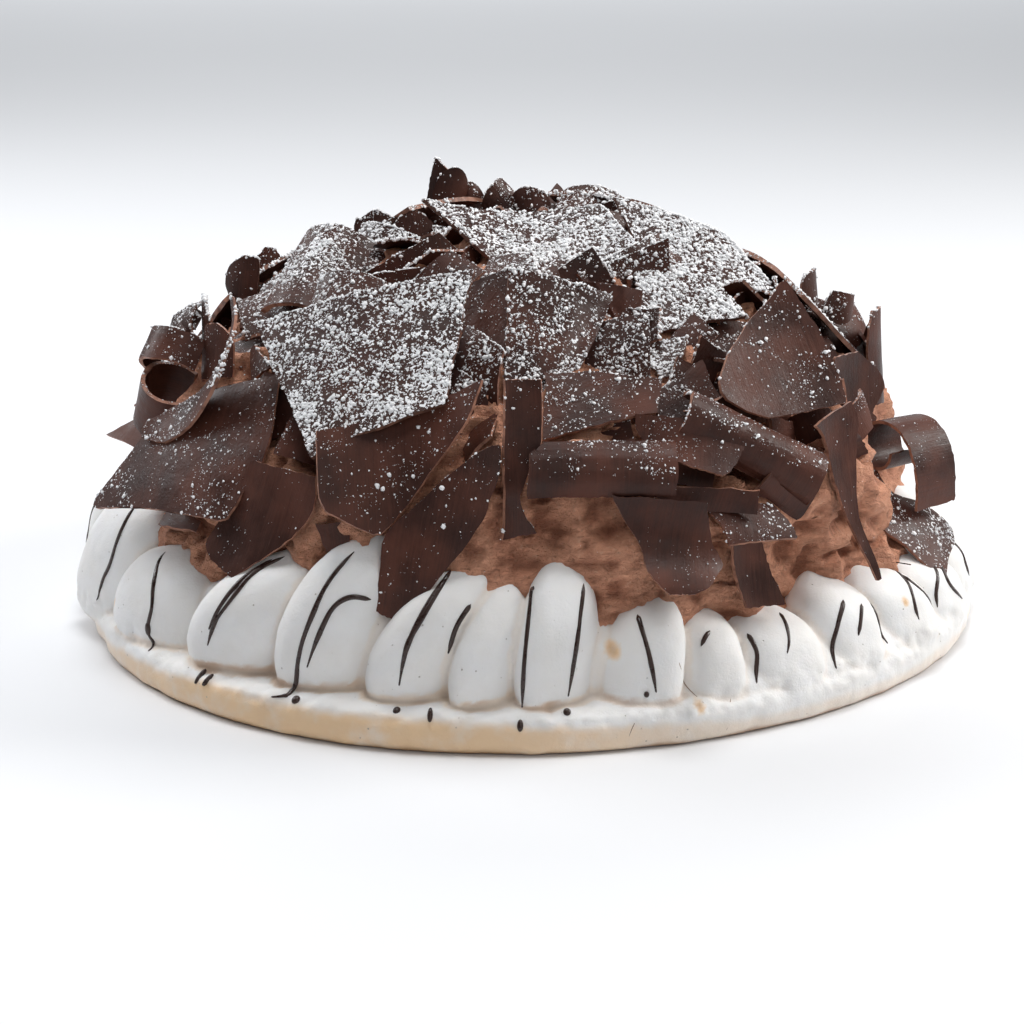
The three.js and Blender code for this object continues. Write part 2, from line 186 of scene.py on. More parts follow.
def closed_rings(rings, first_pole, last_pole):
    """Triangles over a stack of rings, closed at each end by a fan to one pole."""
    rings = np.asarray(rings)
    rows, count = rings.shape[:2]
    points = np.concatenate([[first_pole], rings.reshape(-1, 3), [last_pole]])
    column = np.arange(count)
    following = (column + 1) % count
    triangles = [np.stack([0 * column, 1 + following, 1 + column], 1)]
    for row in range(rows - 1):
        a = 1 + row * count + column
        b = 1 + row * count + following
        triangles.append(np.stack([a, b, b + count], 1))
        triangles.append(np.stack([a, b + count, a + count], 1))
    last = 1 + (rows - 1) * count
    triangles.append(np.stack([last + column, last + following, 0 * column + len(points) - 1], 1))
    return points, np.concatenate(triangles)


def normals_of(points, faces):
    """Each point's normal, from faces of three or four corners."""
    corners = points[faces]
    if faces.shape[1] == 4:
        across = np.cross(corners[:, 2] - corners[:, 0], corners[:, 3] - corners[:, 1])
    else:
        across = np.cross(corners[:, 1] - corners[:, 0], corners[:, 2] - corners[:, 0])
    total = np.zeros((len(points), 3))
    for axis in range(3):
        for corner in range(faces.shape[1]):
            total[:, axis] += np.bincount(faces[:, corner], across[:, axis], len(points))
    return unit(total)


def neighbour_mean(values, faces):
    """For each point, the mean of a value over the points that it shares an edge with."""
    starts = faces.ravel()
    ends = np.roll(faces, -1, 1).ravel()
    count = len(values)
    share = np.bincount(starts, minlength=count) + np.bincount(ends, minlength=count)
    total = np.zeros_like(values)
    for axis in range(values.shape[1]):
        total[:, axis] = np.bincount(starts, values[ends, axis], count)
        total[:, axis] += np.bincount(ends, values[starts, axis], count)
    return total / np.maximum(share, 1)[:, None]


def hollowness(points, faces):
    """How far each point lies below the mean of its neighbours, in millimetres."""
    return ((neighbour_mean(points, faces) - points) * normals_of(points, faces)).sum(1)


def relaxed(points, faces, times, strength=0.5):
    """The same mesh, or a value on its points, with its steps smoothed away."""
    for _ in range(times):
        points = points + strength * (neighbour_mean(points, faces) - points)
    return points


def voxel_union(parts, voxel):
    """The union of closed meshes as one even mesh of four-sided faces."""
    blank = bpy.data.objects.new("blank", mesh_of("blank", *joined(parts)))
    bpy.context.scene.collection.objects.link(blank)
    remesh = blank.modifiers.new("union", "REMESH")
    remesh.mode = "VOXEL"
    remesh.voxel_size = voxel * MM
    made = blank.evaluated_get(bpy.context.evaluated_depsgraph_get()).to_mesh()
    points = points_of(made)
    corners = np.empty(len(made.loops), np.int32)
    made.loops.foreach_get("vertex_index", corners)
    bpy.data.objects.remove(blank)
    return points, corners.reshape(-1, 4)


def without(points, faces, dropped):
    """The mesh without the faces whose corners are all dropped, and without unused points."""
    faces = faces[~dropped[faces].all(1)]
    used = np.zeros(len(points), bool)
    used[faces] = True
    place = np.cumsum(used) - 1
    return points[used], place[faces]


def cap_holes(mesh):
    """Closes each open rim of a mesh with one flat face."""
    work = bmesh.new()
    work.from_mesh(mesh)
    rims = [edge for edge in work.edges if edge.is_boundary]
    bmesh.ops.holes_fill(work, edges=rims, sides=0)
    work.to_mesh(mesh)
    work.free()


def arrays_of(work):
    """A bmesh's points and triangles as arrays. The bmesh is freed."""
    work.verts.index_update()
    points = np.array([corner.co for corner in work.verts])
    triangles = np.array([[corner.index for corner in face.verts] for face in work.faces])
    work.free()
    return points, triangles


def triangles_of(node):
    """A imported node's welded points in millimetres and its triangles, without slivers."""
    work = bmesh.new()
    work.from_mesh(NODES[node].data)
    bmesh.ops.remove_doubles(work, verts=work.verts, dist=WELD * MM)
    bmesh.ops.dissolve_degenerate(work, edges=work.edges, dist=WELD * MM)
    bmesh.ops.triangulate(work, faces=work.faces)
    points, triangles = arrays_of(work)
    return points / MM, triangles


WELD = 0.12  # corners nearer than this are one


def faces_of(made):
    """A piece's points in millimetres and its triangles."""
    mesh = made.data
    mesh.calc_loop_triangles()
    triangles = np.empty(3 * len(mesh.loop_triangles), np.int32)
    mesh.loop_triangles.foreach_get("vertices", triangles)
    return points_of(mesh), triangles.reshape(-1, 3)


def tree_of(pieces):
    """A tree for finding the nearest place or a ray's hit on pieces, in millimetres."""
    points, triangles = joined([faces_of(made) for made in pieces])
    return BVHTree.FromPolygons(points.tolist(), triangles.tolist())


# ---- material nodes ----
class Look:
    """A material's node tree, with short ways to add to it."""

    def __init__(self, name):
        self.material = bpy.data.materials.new(name)
        self.material.use_nodes = True
        self.tree = self.material.node_tree
        self.shader = self.tree.nodes["Principled BSDF"]
        self.place = self.add("TexCoord").outputs["Object"]

    def add(self, kind, sockets=None, **settings):
        """A node, with its settings and its sockets set or linked."""
        made = self.tree.nodes.new("ShaderNode" + kind)
        for key, value in settings.items():
            setattr(made, key, value)
        for key, value in (sockets or {}).items():
            self.give(made.inputs[key], value)
        return made

    def give(self, socket, value):
        """Links a node's result to a socket, or sets the socket's own value."""
        if isinstance(value, bpy.types.NodeSocket):
            self.tree.links.new(value, socket)
        else:
            socket.default_value = value

    def set(self, **values):
        """Gives the shader's sockets values or links."""
        for key, value in values.items():
            self.give(self.shader.inputs[key.replace("_", " ")], value)

    def attribute(self, name):
        """A number that the mesh carries at each point or face."""
        return self.add("Attribute", attribute_name=name).outputs["Fac"]

    def maths(self, kind, *values):
        """A math node's result."""
        made = self.add("Math", operation=kind)
        for socket, value in zip(made.inputs, values):
            self.give(socket, value)
        return made.outputs[0]

    def lumps(self, size, detail=2, roughness=0.5, place=None, distortion=0.0):
        """Noise from 0 to 1, with lumps of this many millimetres."""
        sockets = {
            "Vector": place or self.place,
            "Scale": 1 / (size * MM),
            "Detail": detail,
            "Roughness": roughness,
            "Distortion": distortion,
        }
        return self.add("TexNoise", sockets).outputs["Fac"]

    def between(self, value, start, end, low=0.0, high=1.0):
        """The value's place from start to end, as a number from low to high."""
        sockets = {0: value, 1: start, 2: end, 3: low, 4: high}
        return self.add("MapRange", sockets, interpolation_type="SMOOTHSTEP").outputs[0]

    def mix(self, share, first, second, kind="MIX"):
        """Two colours mixed by share."""
        made = self.add("Mix", data_type="RGBA", blend_type=kind)
        self.give(made.inputs["Factor"], share)
        for socket, value in ((made.inputs[6], first), (made.inputs[7], second)):
            self.give(socket, value if isinstance(value, bpy.types.NodeSocket) else (*value, 1))
        return made.outputs[2]

    def bump(self, height, distance, strength=1.0, normal=None):
        """A normal, from a height that spans this many millimetres."""
        sockets = {"Height": height, "Distance": distance * MM, "Strength": strength}
        if normal:
            sockets["Normal"] = normal
        return self.add("Bump", sockets).outputs[0]


WHITE_MERINGUE = (0.84, 0.825, 0.805)
TOASTED_AND_CREASE_SHADE = (0.84, 0.60, 0.37)
CARAMEL_AND_CREASE_SHADE = (0.42, 0.21, 0.09)
PORE_SHADE = (0.38, 0.33, 0.29)


def meringue_look():
    """Matt off-white crust with fine grain, toasted at its foot, with pores and creases darkened as
    painted shade.
    """
    look = Look("baked_meringue")
    cloud = look.lumps(14, 3)
    colour = look.mix(look.between(cloud, 0.35, 0.7), WHITE_MERINGUE, (0.87, 0.865, 0.86))
    toast_and_crease_shade = look.attribute("toast_and_crease_shade")
    # The toasted and caramel colours are real browning at the foot and on blisters, and painted shade in
    # the creases.
    patchy = look.maths("MULTIPLY", toast_and_crease_shade, look.between(look.lumps(7, 4), 0.2, 0.6, 0.55, 1.0))
    colour = look.mix(patchy, colour, TOASTED_AND_CREASE_SHADE)
    colour = look.mix(look.attribute("caramel_and_crease_shade"), colour, CARAMEL_AND_CREASE_SHADE)
    # Painted shade: the pores' tiny pits are coloured dark.
    pores = look.add("TexVoronoi", {"Vector": look.place, "Scale": 1 / (3.2 * MM)})
    dot = look.between(pores.outputs["Distance"], 0.06, 0.11, 1.0, 0.0)
    chosen = look.between(look.lumps(3, 1), 0.52, 0.60)
    pore_pit = look.maths("MULTIPLY", dot, chosen)
    colour = look.mix(look.maths("MULTIPLY", pore_pit, 0.7), colour, PORE_SHADE)
    grain = look.lumps(0.7, 3, 0.6)
    skin = look.bump(look.lumps(5, 3), 0.5, 0.5)
    skin = look.bump(grain, 0.2, 0.6, skin)
    skin = look.bump(pore_pit, -0.25, 0.8, skin)
    look.set(Base_Color=colour, Normal=skin, Roughness=look.between(grain, 0.2, 0.8, 0.5, 0.68))
    look.set(Subsurface_Weight=0.12, Subsurface_Radius=(1.0, 0.8, 0.6), Subsurface_Scale=2 * MM)
    return look.material


SUGAR_WHITE = (0.90, 0.91, 0.93)
MOUSSE_BROWN = (0.80, 0.385, 0.24)
MOUSSE_DARK = (0.58, 0.25, 0.15)
MOUSSE_SHADE = (0.33, 0.125, 0.07)
MOUSSE_HIGHLIGHT = (0.80, 0.47, 0.32)


def mousse_look():
    """Whipped chocolate mousse: warm brown and curdled, with painted shade in its folds and torn hollows
    and a painted highlight on its raised curds.
    """
    look = Look("whipped_mousse")
    mottled = look.between(look.lumps(9, 4, 0.6), 0.36, 0.6, 0.3, 1.0)
    colour = look.mix(mottled, MOUSSE_DARK, MOUSSE_BROWN)
    curds = look.lumps(1.5, 4, 0.65)
    layered = look.add("VectorMath", {0: look.place, 1: (1.0, 1.0, 2.4)}, operation="MULTIPLY")
    torn = look.lumps(4, 5, 0.68, layered.outputs[0], 0.8)
    # Painted highlight: the raised curds are paler.
    colour = look.mix(look.between(curds, 0.54, 0.72, 0.0, 0.6), colour, MOUSSE_HIGHLIGHT)
    # Painted shade: the torn hollows and the folds are darker.
    colour = look.mix(look.between(torn, 0.30, 0.44, 0.45, 0.0), colour, MOUSSE_SHADE)
    colour = look.mix(look.attribute("fold_shade"), colour, MOUSSE_SHADE)
    skin = look.bump(torn, 3.5, 0.9)
    skin = look.bump(curds, 1.2, 0.9, skin)
    colour = look.mix(dust_share(look), colour, SUGAR_WHITE)
    look.set(Base_Color=colour, Normal=skin, Roughness=look.between(curds, 0.3, 0.7, 0.5, 0.75))
    look.set(Specular_IOR_Level=0.3)
    return look.material


def dust_share(look):
    """Where the finest icing sugar lies: specks on what faces up, as dense as the piece has it."""
    facing = look.add("SeparateXYZ", {0: look.add("NewGeometry").outputs["Normal"]}).outputs[2]
    lying = look.between(facing, -0.05, 0.6)
    amount = look.maths("MULTIPLY", lying, look.attribute("dust"))
    amount = look.maths("MULTIPLY", amount, look.between(look.lumps(3.5, 3), 0.25, 0.7, 0.5, 1.0))
    threshold = look.between(amount, 0.0, 1.0, 0.72, 0.46)
    above = look.maths("SUBTRACT", look.lumps(1.0, 2, 0.6), threshold)
    return look.maths("MULTIPLY", look.between(above, 0.0, 0.04), look.between(amount, 0.0, 0.06))


CHOCOLATE_BROWN = (0.104, 0.035, 0.022)
CHOCOLATE_DARK = (0.034, 0.0125, 0.009)
CHOCOLATE_RIM_HIGHLIGHT = (0.38, 0.185, 0.125)


def chocolate_look():
    """Scraped dark chocolate: satin, streaked along the scrape, with a paler, redder painted highlight on
    its rims.
    """
    look = Look("dark_chocolate")
    across = look.attribute("across")
    lane = look.add("CombineXYZ", {0: look.maths("MULTIPLY", across, 0.9), 1: 0.0, 2: 0.0}).outputs[0]
    drift = look.add("VectorMath", {0: look.place, 1: (35.0, 35.0, 35.0)}, operation="MULTIPLY")
    lane = look.add("VectorMath", {0: lane, 1: drift.outputs[0]}, operation="ADD").outputs[0]
    streaks = look.add("TexNoise", {"Vector": lane, "Scale": 2.2, "Detail": 4, "Roughness": 0.7})
    streaks = streaks.outputs["Fac"]
    tone = look.lumps(16, 3)
    shade = look.maths("MULTIPLY_ADD", streaks, 0.3, look.maths("MULTIPLY", tone, 0.8))
    colour = look.mix(look.between(shade, 0.35, 0.75), CHOCOLATE_DARK, CHOCOLATE_BROWN)
    # Painted highlight: the rims are paler and redder, in patches.
    rim = look.attribute("rim")
    rim_highlight = look.maths("MULTIPLY", rim, look.between(look.lumps(2.5, 3), 0.3, 0.6, 0.35, 1.0))
    colour = look.mix(rim_highlight, colour, CHOCOLATE_RIM_HIGHLIGHT)
    # The chocolate is darker where more sugar lies.
    darker_under_sugar = look.between(look.attribute("dust"), 0.2, 0.9, 0.0, 0.75)
    colour = look.mix(darker_under_sugar, colour, CHOCOLATE_DARK)
    dust = dust_share(look)
    colour = look.mix(dust, colour, SUGAR_WHITE)
    grain = look.lumps(0.9, 3, 0.65)
    skin = look.bump(streaks, 0.2, 0.5)
    skin = look.bump(look.lumps(3.5, 3), 0.35, 0.5, skin)
    skin = look.bump(grain, 0.16, 0.6, skin)
    satin = look.between(look.maths("ADD", streaks, look.lumps(8, 3)), 0.7, 1.3, 0.34, 0.56)
    roughness = look.maths("MAXIMUM", satin, look.maths("MULTIPLY", dust, 0.8))
    look.set(Base_Color=colour, Normal=skin, Roughness=roughness, Specular_IOR_Level=0.235)
    return look.material


def drizzle_look():
    """Set drizzle of dark chocolate, near black and glossy."""
    look = Look("chocolate_drizzle")
    tone = look.lumps(3, 3)
    colour = look.mix(tone, (0.016, 0.007, 0.005), (0.045, 0.018, 0.012))
    skin = look.bump(look.lumps(1.5, 3), 0.15, 0.6)
    look.set(Base_Color=colour, Normal=skin, Roughness=look.between(tone, 0.3, 0.7, 0.22, 0.42))
    return look.material


def crack_look():
    """A fine crack in the crust, coloured dark as the painted shade inside it."""
    look = Look("crust_crack")
    # Painted shade: the crack is coloured dark, as the shade inside it.
    colour = look.mix(look.lumps(4, 3), (0.20, 0.12, 0.08), (0.42, 0.30, 0.22))
    look.set(Base_Color=colour, Normal=look.bump(look.lumps(0.6, 2), 0.1), Roughness=0.8)
    return look.material


def sugar_look():
    """Icing sugar: matt white, with its clumps' own fine grain."""
    look = Look("icing_sugar")
    grain = look.lumps(0.3, 3)
    colour = look.mix(grain, (0.87, 0.88, 0.90), (0.95, 0.95, 0.96))
    look.set(Base_Color=colour, Normal=look.bump(grain, 0.08, 0.7), Roughness=0.75)
    look.set(Subsurface_Weight=0.1, Subsurface_Radius=(1.0, 1.0, 1.0), Subsurface_Scale=0.5 * MM)
    return look.material


# ---- meringue ----
FIRST_LOBE_START = -80
# Each front lobe: its width in degrees around, its height, and its lean in degrees.
FRONT_LOBES = [
    (17, 36, 3),
    (17, 26, -1),
    (14, 34, 5),
    (12, 42, 4),
    (10.5, 37, 7),
    (8, 33, 3),
    (10, 38, 1),
    (10, 27, 3),
    (8.5, 20, 1),
    (12, 18, 0),
    (11, 22, 0),
    (12, 20, -1),
    (12, 18, -1),
    (14, 17, -1),
    (14, 21, 0),
]
BACK_LOBES = 13
BACK_TALL = (28, 8)  # a back lobe's height, and how much it varies
BACK_LEAN = (4, 3)
BASE_RADIUS = 145  # of the disc
SEAM_RADIUS = 135  # of the creases where the lobes meet
SEAM_HEIGHT = 12.5  # where the lobes stand on the disc
SIDE_SPREAD = 5.5  # how much wider the ring of lobes is from side to side
DISC_WAVE = 2  # how far the hand-spread disc strays from a true circle
MERINGUE_VOXEL = 1.1


def all_lobes():
    """Every lobe as (start, width, tall, lean, number), round the whole ring."""
    lobes = list(FRONT_LOBES)
    plain_width = (360 - sum(lobe[0] for lobe in FRONT_LOBES)) / BACK_LOBES
    for i in range(BACK_LOBES):
        following = uneven(i + 1, 1) if i + 1 < BACK_LOBES else uneven(0, 1)
        width = plain_width + following - uneven(i, 1)
        tall = BACK_TALL[0] + BACK_TALL[1] * uneven(i, 2)
        lobes.append((width, tall, BACK_LEAN[0] + BACK_LEAN[1] * uneven(i, 3)))
    whole = sum(lobe[0] for lobe in lobes)
    placed = []
    start = FIRST_LOBE_START
    for number, (width, tall, lean) in enumerate(lobes):
        width *= 360 / whole
        placed.append((start, width, tall, lean, number))
        start += width
    return placed


LOBES = all_lobes()


def wave_at(degrees):
    """How far out the disc's edge strays at these angles."""
    return -DISC_WAVE * np.sin(np.radians(3 * degrees))


def spread_at(degrees):
    """How much wider the ring of lobes is at these angles."""
    return SIDE_SPREAD * np.abs(np.sin(np.radians(degrees))) ** 3


# A lobe's rings, from its round bottom to its drawn-out tip: the share of its height, how far its
# back stands out from the crease, its depth, the share of its width, and how far it has leaned.
LOBE_RINGS = np.array(
    [
        [-0.12, 4.5, 7.0, 0.80, 0.00],
        [-0.03, 8.0, 9.5, 0.94, 0.00],
        [0.08, 9.4, 11.0, 1.03, 0.02],
        [0.22, 9.9, 12.0, 1.08, 0.08],
        [0.38, 9.7, 12.0, 1.09, 0.20],
        [0.54, 8.6, 12.0, 1.05, 0.38],
        [0.69, 6.6, 11.0, 0.97, 0.58],
        [0.81, 3.8, 9.0, 0.84, 0.76],
        [0.90, 0.6, 7.0, 0.68, 0.90],
        [0.96, -3.0, 4.8, 0.49, 1.02],
        [1.01, -6.2, 2.9, 0.29, 1.12],
        [1.05, -8.6, 1.3, 0.11, 1.20],
    ]
)
LOBE_COLUMNS = 36
LOBE_ROWS = 36
LEDGE_MIDDLE = -24  # the ledge shows at the front, left of the middle, and narrows both ways
LEDGE_SPAN = 39
SIDE_REACH = 4.5  # how much farther the lobes come out where there is hardly a ledge
SIDE_SINK = 5.5  # and how much lower their feet run down the disc's side
LAST_LEFT = 12  # up to here the left side of a lobe lies over the lobe before it
OVERLAP_LEFT = 0.27  # how far back a lobe stands for each millimetre towards its right side
OVERLAP_RIGHT = -0.16  # the same beyond LAST_LEFT, where its right side lies over the next lobe
BELLY_BACK = 6  # how far the lobes' middles stand inside the creases' radius
LOBE_SQUARE = (3.1, 2.3)  # how square its section is on the side that lies over, and on the other
LOBE_BLEND = 9  # degrees over which one lobe's height runs into the next one's


def ledge_share(degrees):
    """1 where the disc's ledge is widest, falling to 0 at the sides and behind."""
    apart = (degrees - LEDGE_MIDDLE + 180) % 360 - 180
    return np.exp(-((apart / LEDGE_SPAN) ** 4))


def smooth_rows(table, count):
    """Rows in between, on smooth curves through a table's rows."""
    at = np.linspace(0, len(table) - 1, count)
    before = np.clip(np.floor(at).astype(int), 0, len(table) - 2)
    t = (at - before)[:, None]
    p0, p1, p2, p3 = (table[np.clip(before + k, 0, len(table) - 1)] for k in (-1, 0, 1, 2))
    return 0.5 * (
        2 * p1
        + (p2 - p0) * t
        + (2 * p0 - 5 * p1 + 4 * p2 - p3) * t**2
        + (3 * p1 - p0 - 3 * p2 + p3) * t**3
    )


def lobe_solid(lobe):
    """One piped lobe: a fat drop that leans, one side lying over the lobe next to it."""
    start, width, tall, lean, number = lobe
    middle = start + width / 2
    leftward = middle < LAST_LEFT
    belly = SEAM_RADIUS - BELLY_BACK + 0.5 * wave_at(middle) + 0.5 * uneven(number, 4)
    belly += spread_at(middle)
    half_wide = math.radians(width / 2) * SEAM_RADIUS
    bare = 1 - ledge_share(middle)
    turn = full_turn(LOBE_COLUMNS)
    squarer = np.cos(turn) * (1 if leftward else -1) < 0
    roundness = 2 / np.where(squarer, *LOBE_SQUARE)
    side = np.sign(np.cos(turn)) * np.abs(np.cos(turn)) ** roundness
    back = np.sign(np.sin(turn)) * np.abs(np.sin(turn)) ** roundness
    overlap = (OVERLAP_LEFT if leftward else OVERLAP_RIGHT) + 0.08 * uneven(number, 5)
    rings = []
    for share, out, deep, wide, leaned in smooth_rows(LOBE_RINGS, LOBE_ROWS):
        foot = bare * max(0, 1 - (share + 0.12) / 0.5)
        x = side * half_wide * wide
        radius = belly + out - deep + back * deep - overlap * x * min(1, max(0, 1.2 - share))
        place = middle + lean * leaned + np.degrees(x / SEAM_RADIUS)
        height = SEAM_HEIGHT + share * tall - SIDE_SINK * foot
        rings.append(around(place, radius + SIDE_REACH * foot, height))
    rings = np.array(rings)
    bottom = rings[0].mean(0) - [0, 0, 0.5]
    tip = rings[-1].mean(0) + [0, 0, 0.6]
    return closed_rings(rings, bottom, tip)


def lobe_height(degrees):
    """How tall the lobes are at these angles, smoothed from one lobe to the next."""
    middles = np.array([start + width / 2 for start, width, _, _, _ in LOBES])
    heights = np.array([tall for _, _, tall, _, _ in LOBES])
    apart = (degrees[:, None] - middles + 180) % 360 - 180
    weights = np.exp(-((apart / LOBE_BLEND) ** 2))
    return (weights * heights).sum(1) / weights.sum(1)


def tube_faces(rows, columns):
    """Triangles over rings whose last row joins the first."""
    faces = []
    for row in range(rows):
        a = row * columns + np.arange(columns)
        b = row * columns + (np.arange(columns) + 1) % columns
        c = (b + columns) % (rows * columns)
        d = (a + columns) % (rows * columns)
        faces.append(np.stack([a, b, c], 1))
        faces.append(np.stack([a, c, d], 1))
    return np.concatenate(faces)


WALL_BACK = 3.2  # how far the wall stands inside the creases' radius
# The wall's section: how far each point stands out, and its share of the lobes' height.
WALL_SECTION = [
    (-18, -0.25),
    (0, -0.25),
    (0.6, 0.1),
    (0.4, 0.3),
    (-1.2, 0.48),
    (-5, 0.64),
    (-11, 0.72),
    (-17, 0.6),
    (-20, 0.2),
]


def case_wall():
    """The wall behind the lobes' creases."""
    degrees = np.arange(180) * 2.0
    tall = lobe_height(degrees)
    radius = SEAM_RADIUS - WALL_BACK + 0.5 * wave_at(degrees) + spread_at(degrees)
    rings = [around(degrees, radius + out, SEAM_HEIGHT + share * tall) for out, share in WALL_SECTION]
    return np.array(rings).reshape(-1, 3), tube_faces(len(rings), len(degrees))


# The disc's edge, from the underside to the ledge: how far it stands out, and its height.
DISC_SECTION = [
    (-4, 0),
    (-1.4, 0.4),
    (-0.3, 2.4),
    (0, 5),
    (-0.2, 8),
    (-1.3, 10.4),
    (-3.6, 11.8),
    (-7, 12.4),
    (-14, 12.8),
]
DISC_INSIDE = 100  # the radius inside which the disc's top is its flat floor
RIM_STEP = 1.5  # degrees between the columns of the disc's and the slope's edge

# Where there is no ledge, a slope runs from the lobes to the disc's edge: how far out, and height.
SLOPE_SECTION = [
    (-16, 8),
    (8.8, 8),
    (8.2, 10.5),
    (6.8, 13),
    (4.8, 16),
    (2.4, 19.5),
    (-2, 24),
    (-16, 24),
]
SLOPE_HIDDEN = 16  # how far the slope draws in under the lobes where the ledge is widest


def edge_noise(degrees, size, seed):
    """Unevenness along the disc's edge, in lumps of this size."""
    return noise(around(degrees, float(BASE_RADIUS), 0.0), size, seed)


def case_slope():
    """The lobes' feet run together down to the disc's edge, beside the ledge and behind."""
    degrees = np.arange(0, 360, RIM_STEP)
    radius = SEAM_RADIUS + wave_at(degrees) + 0.8 * edge_noise(degrees, 12, 5)
    radius = radius - SLOPE_HIDDEN * ledge_share(degrees)
    rings = [around(degrees, radius + out, height) for out, height in SLOPE_SECTION]
    return np.array(rings).reshape(-1, 3), tube_faces(len(rings), len(degrees))


def case_disc():
    """The flat hand-spread disc under the lobes, with a soft edge and an uneven ledge."""
    degrees = np.arange(0, 360, RIM_STEP)
    rim = BASE_RADIUS + wave_at(degrees) + 0.5 * edge_noise(degrees, 14, 3)
    rings = [around(degrees, rim + out, height) for out, height in DISC_SECTION]
    rings.append(around(degrees, DISC_INSIDE, FLOOR_HEIGHT))
    return closed_rings(rings, [*AXIS, 0], [*AXIS, FLOOR_HEIGHT])


SNAP_REACH = 2.0  # how far the union's points may be from the parts' own surfaces


def snapped(points, faces, parts):
    """A union's points back on its parts' own surfaces, which keeps the creases between crisp."""
    own_points, own_faces = joined(parts)
    tree = BVHTree.FromPolygons(own_points.tolist(), own_faces.tolist())
    normals = normals_of(points, faces)
    placed = []
    for point, normal in zip(points, normals):
        hit = tree.ray_cast(Vector(point + SNAP_REACH * normal), Vector(-normal), 2 * SNAP_REACH)[0]
        placed.append(point if hit is None else hit)
    return np.array(placed)


def crust_lift(points, radius, height):
    """How far the crust's unevenness lifts it: most on the ledge and at the disc's edge."""
    ledge = ramp(radius, 133, 139) * ramp(height, 6.5, 9.5) * (1 - ramp(height, 12.8, 16))
    foot = 1 - ramp(height, 5, 12)
    lift = 0.35 * rough(points, 16, 3, 1) + 0.10 * rough(points, 3.5, 2, 7)
    lift += ledge * (0.75 * rough(points, 4.5, 3, 11))
    lift += foot * 0.5 * rough(points, 9, 3, 21)
    return lift * ramp(height, 0.0, 1.5)


# Small toasted blisters: degrees around, height and size.
BLISTERS = [(10.4, 26.6, 2.3), (20, 10.5, 1.5), (55, 24, 1.4), (-62, 20, 1.2)]
BAND_HEIGHT = 5.5  # how high the disc's edge is toasted
BAND_AT_LEDGE = 4.8  # and how much higher where the ledge is widest
PALEST_SHARE = 0.35  # how much toasting is left where there is no ledge
CRUST_FROM = 125  # outside this radius the crust can be seen
UNDER_MOUSSE = (108, 3)  # inside this radius and above this height the mousse hides the case
UNDERSIDE = (132, 0.8)  # inside this radius and below this height the cake lies on its stand


def baking(points, crease, degrees, radius, height):
    """How toasted and how caramelised the crust is at the disc's edge and on blisters, with painted shade
    in the creases.
    """
    band = BAND_HEIGHT + BAND_AT_LEDGE * ledge_share(degrees)
    band += 1.3 * edge_noise(degrees, 22, 31)
    band += 0.7 * noise(points, 4, 32)
    toast_and_crease_shade = 1 - ramp(height - band, -2.4, 0.8)
    caramel_and_crease_shade = 0.75 * (1 - ramp(height, 0.2, 1.5 + 1.2 * noise(points, 12, 41)))
    # Painted shade: the creases near the lobes' feet get the toasted and caramel colours.
    seam = crease * (1 - ramp(height, 14.5, 19)) * ramp(height, 9, 11)
    shown = PALEST_SHARE + (1 - PALEST_SHARE) * ledge_share(degrees)
    toast_and_crease_shade = np.maximum(toast_and_crease_shade, 0.5 * seam) * shown
    caramel_and_crease_shade = np.maximum(caramel_and_crease_shade, 0.5 * shown * seam * ramp(noise(points, 8, 44), -0.2, 0.5))
    # Painted shade: every crease gets some of the toasted colour.
    toast_and_crease_shade = np.maximum(toast_and_crease_shade, 0.2 * crease)
    outside = radius > CRUST_FROM
    for at, tall, size in BLISTERS:
        across = np.radians(degrees - at) * (SEAM_RADIUS + 1)
        far = np.hypot(across, (height - tall) * 0.8) / size
        toast_and_crease_shade = np.maximum(toast_and_crease_shade, outside * (1 - ramp(far, 0.5, 1.1)))
        caramel_and_crease_shade = np.maximum(caramel_and_crease_shade, outside * (0.35 * (1 - ramp(far, 0.2, 0.7))))
    return toast_and_crease_shade, caramel_and_crease_shade


def build_meringue(material):
    """The case: disc, wall, slope and lobes run together, uneven, creased and baked."""
    parts = [case_disc(), case_wall(), case_slope()] + [lobe_solid(lobe) for lobe in LOBES]
    points, faces = voxel_union(parts, MERINGUE_VOXEL)
    _, radius, height = polar(points)
    under_mousse = (radius < UNDER_MOUSSE[0]) & (height > UNDER_MOUSSE[1])
    underside = (radius < UNDERSIDE[0]) & (height < UNDERSIDE[1])
    points, faces = without(points, faces, under_mousse | underside)
    points = relaxed(snapped(points, faces, parts), faces, 1, 0.4)
    crease = relaxed(np.clip(hollowness(points, faces), 0, None)[:, None], faces, 4)[:, 0]
    crease = ramp(crease, 0.012, 0.075)
    degrees, radius, height = polar(points)
    points = points + normals_of(points, faces) * crust_lift(points, radius, height)[:, None]
    points[:, 2] = np.maximum(points[:, 2], 0)
    # The creases also go into the toasting and caramel values, as painted shade.
    toast_and_crease_shade, caramel_and_crease_shade = baking(points, crease, degrees, radius, height)
    mesh = mesh_of("meringue", points, faces, {"toast_and_crease_shade": toast_and_crease_shade, "caramel_and_crease_shade": caramel_and_crease_shade})
    cap_holes(mesh)
    return piece("meringue", mesh, material, ["meringue_case"])


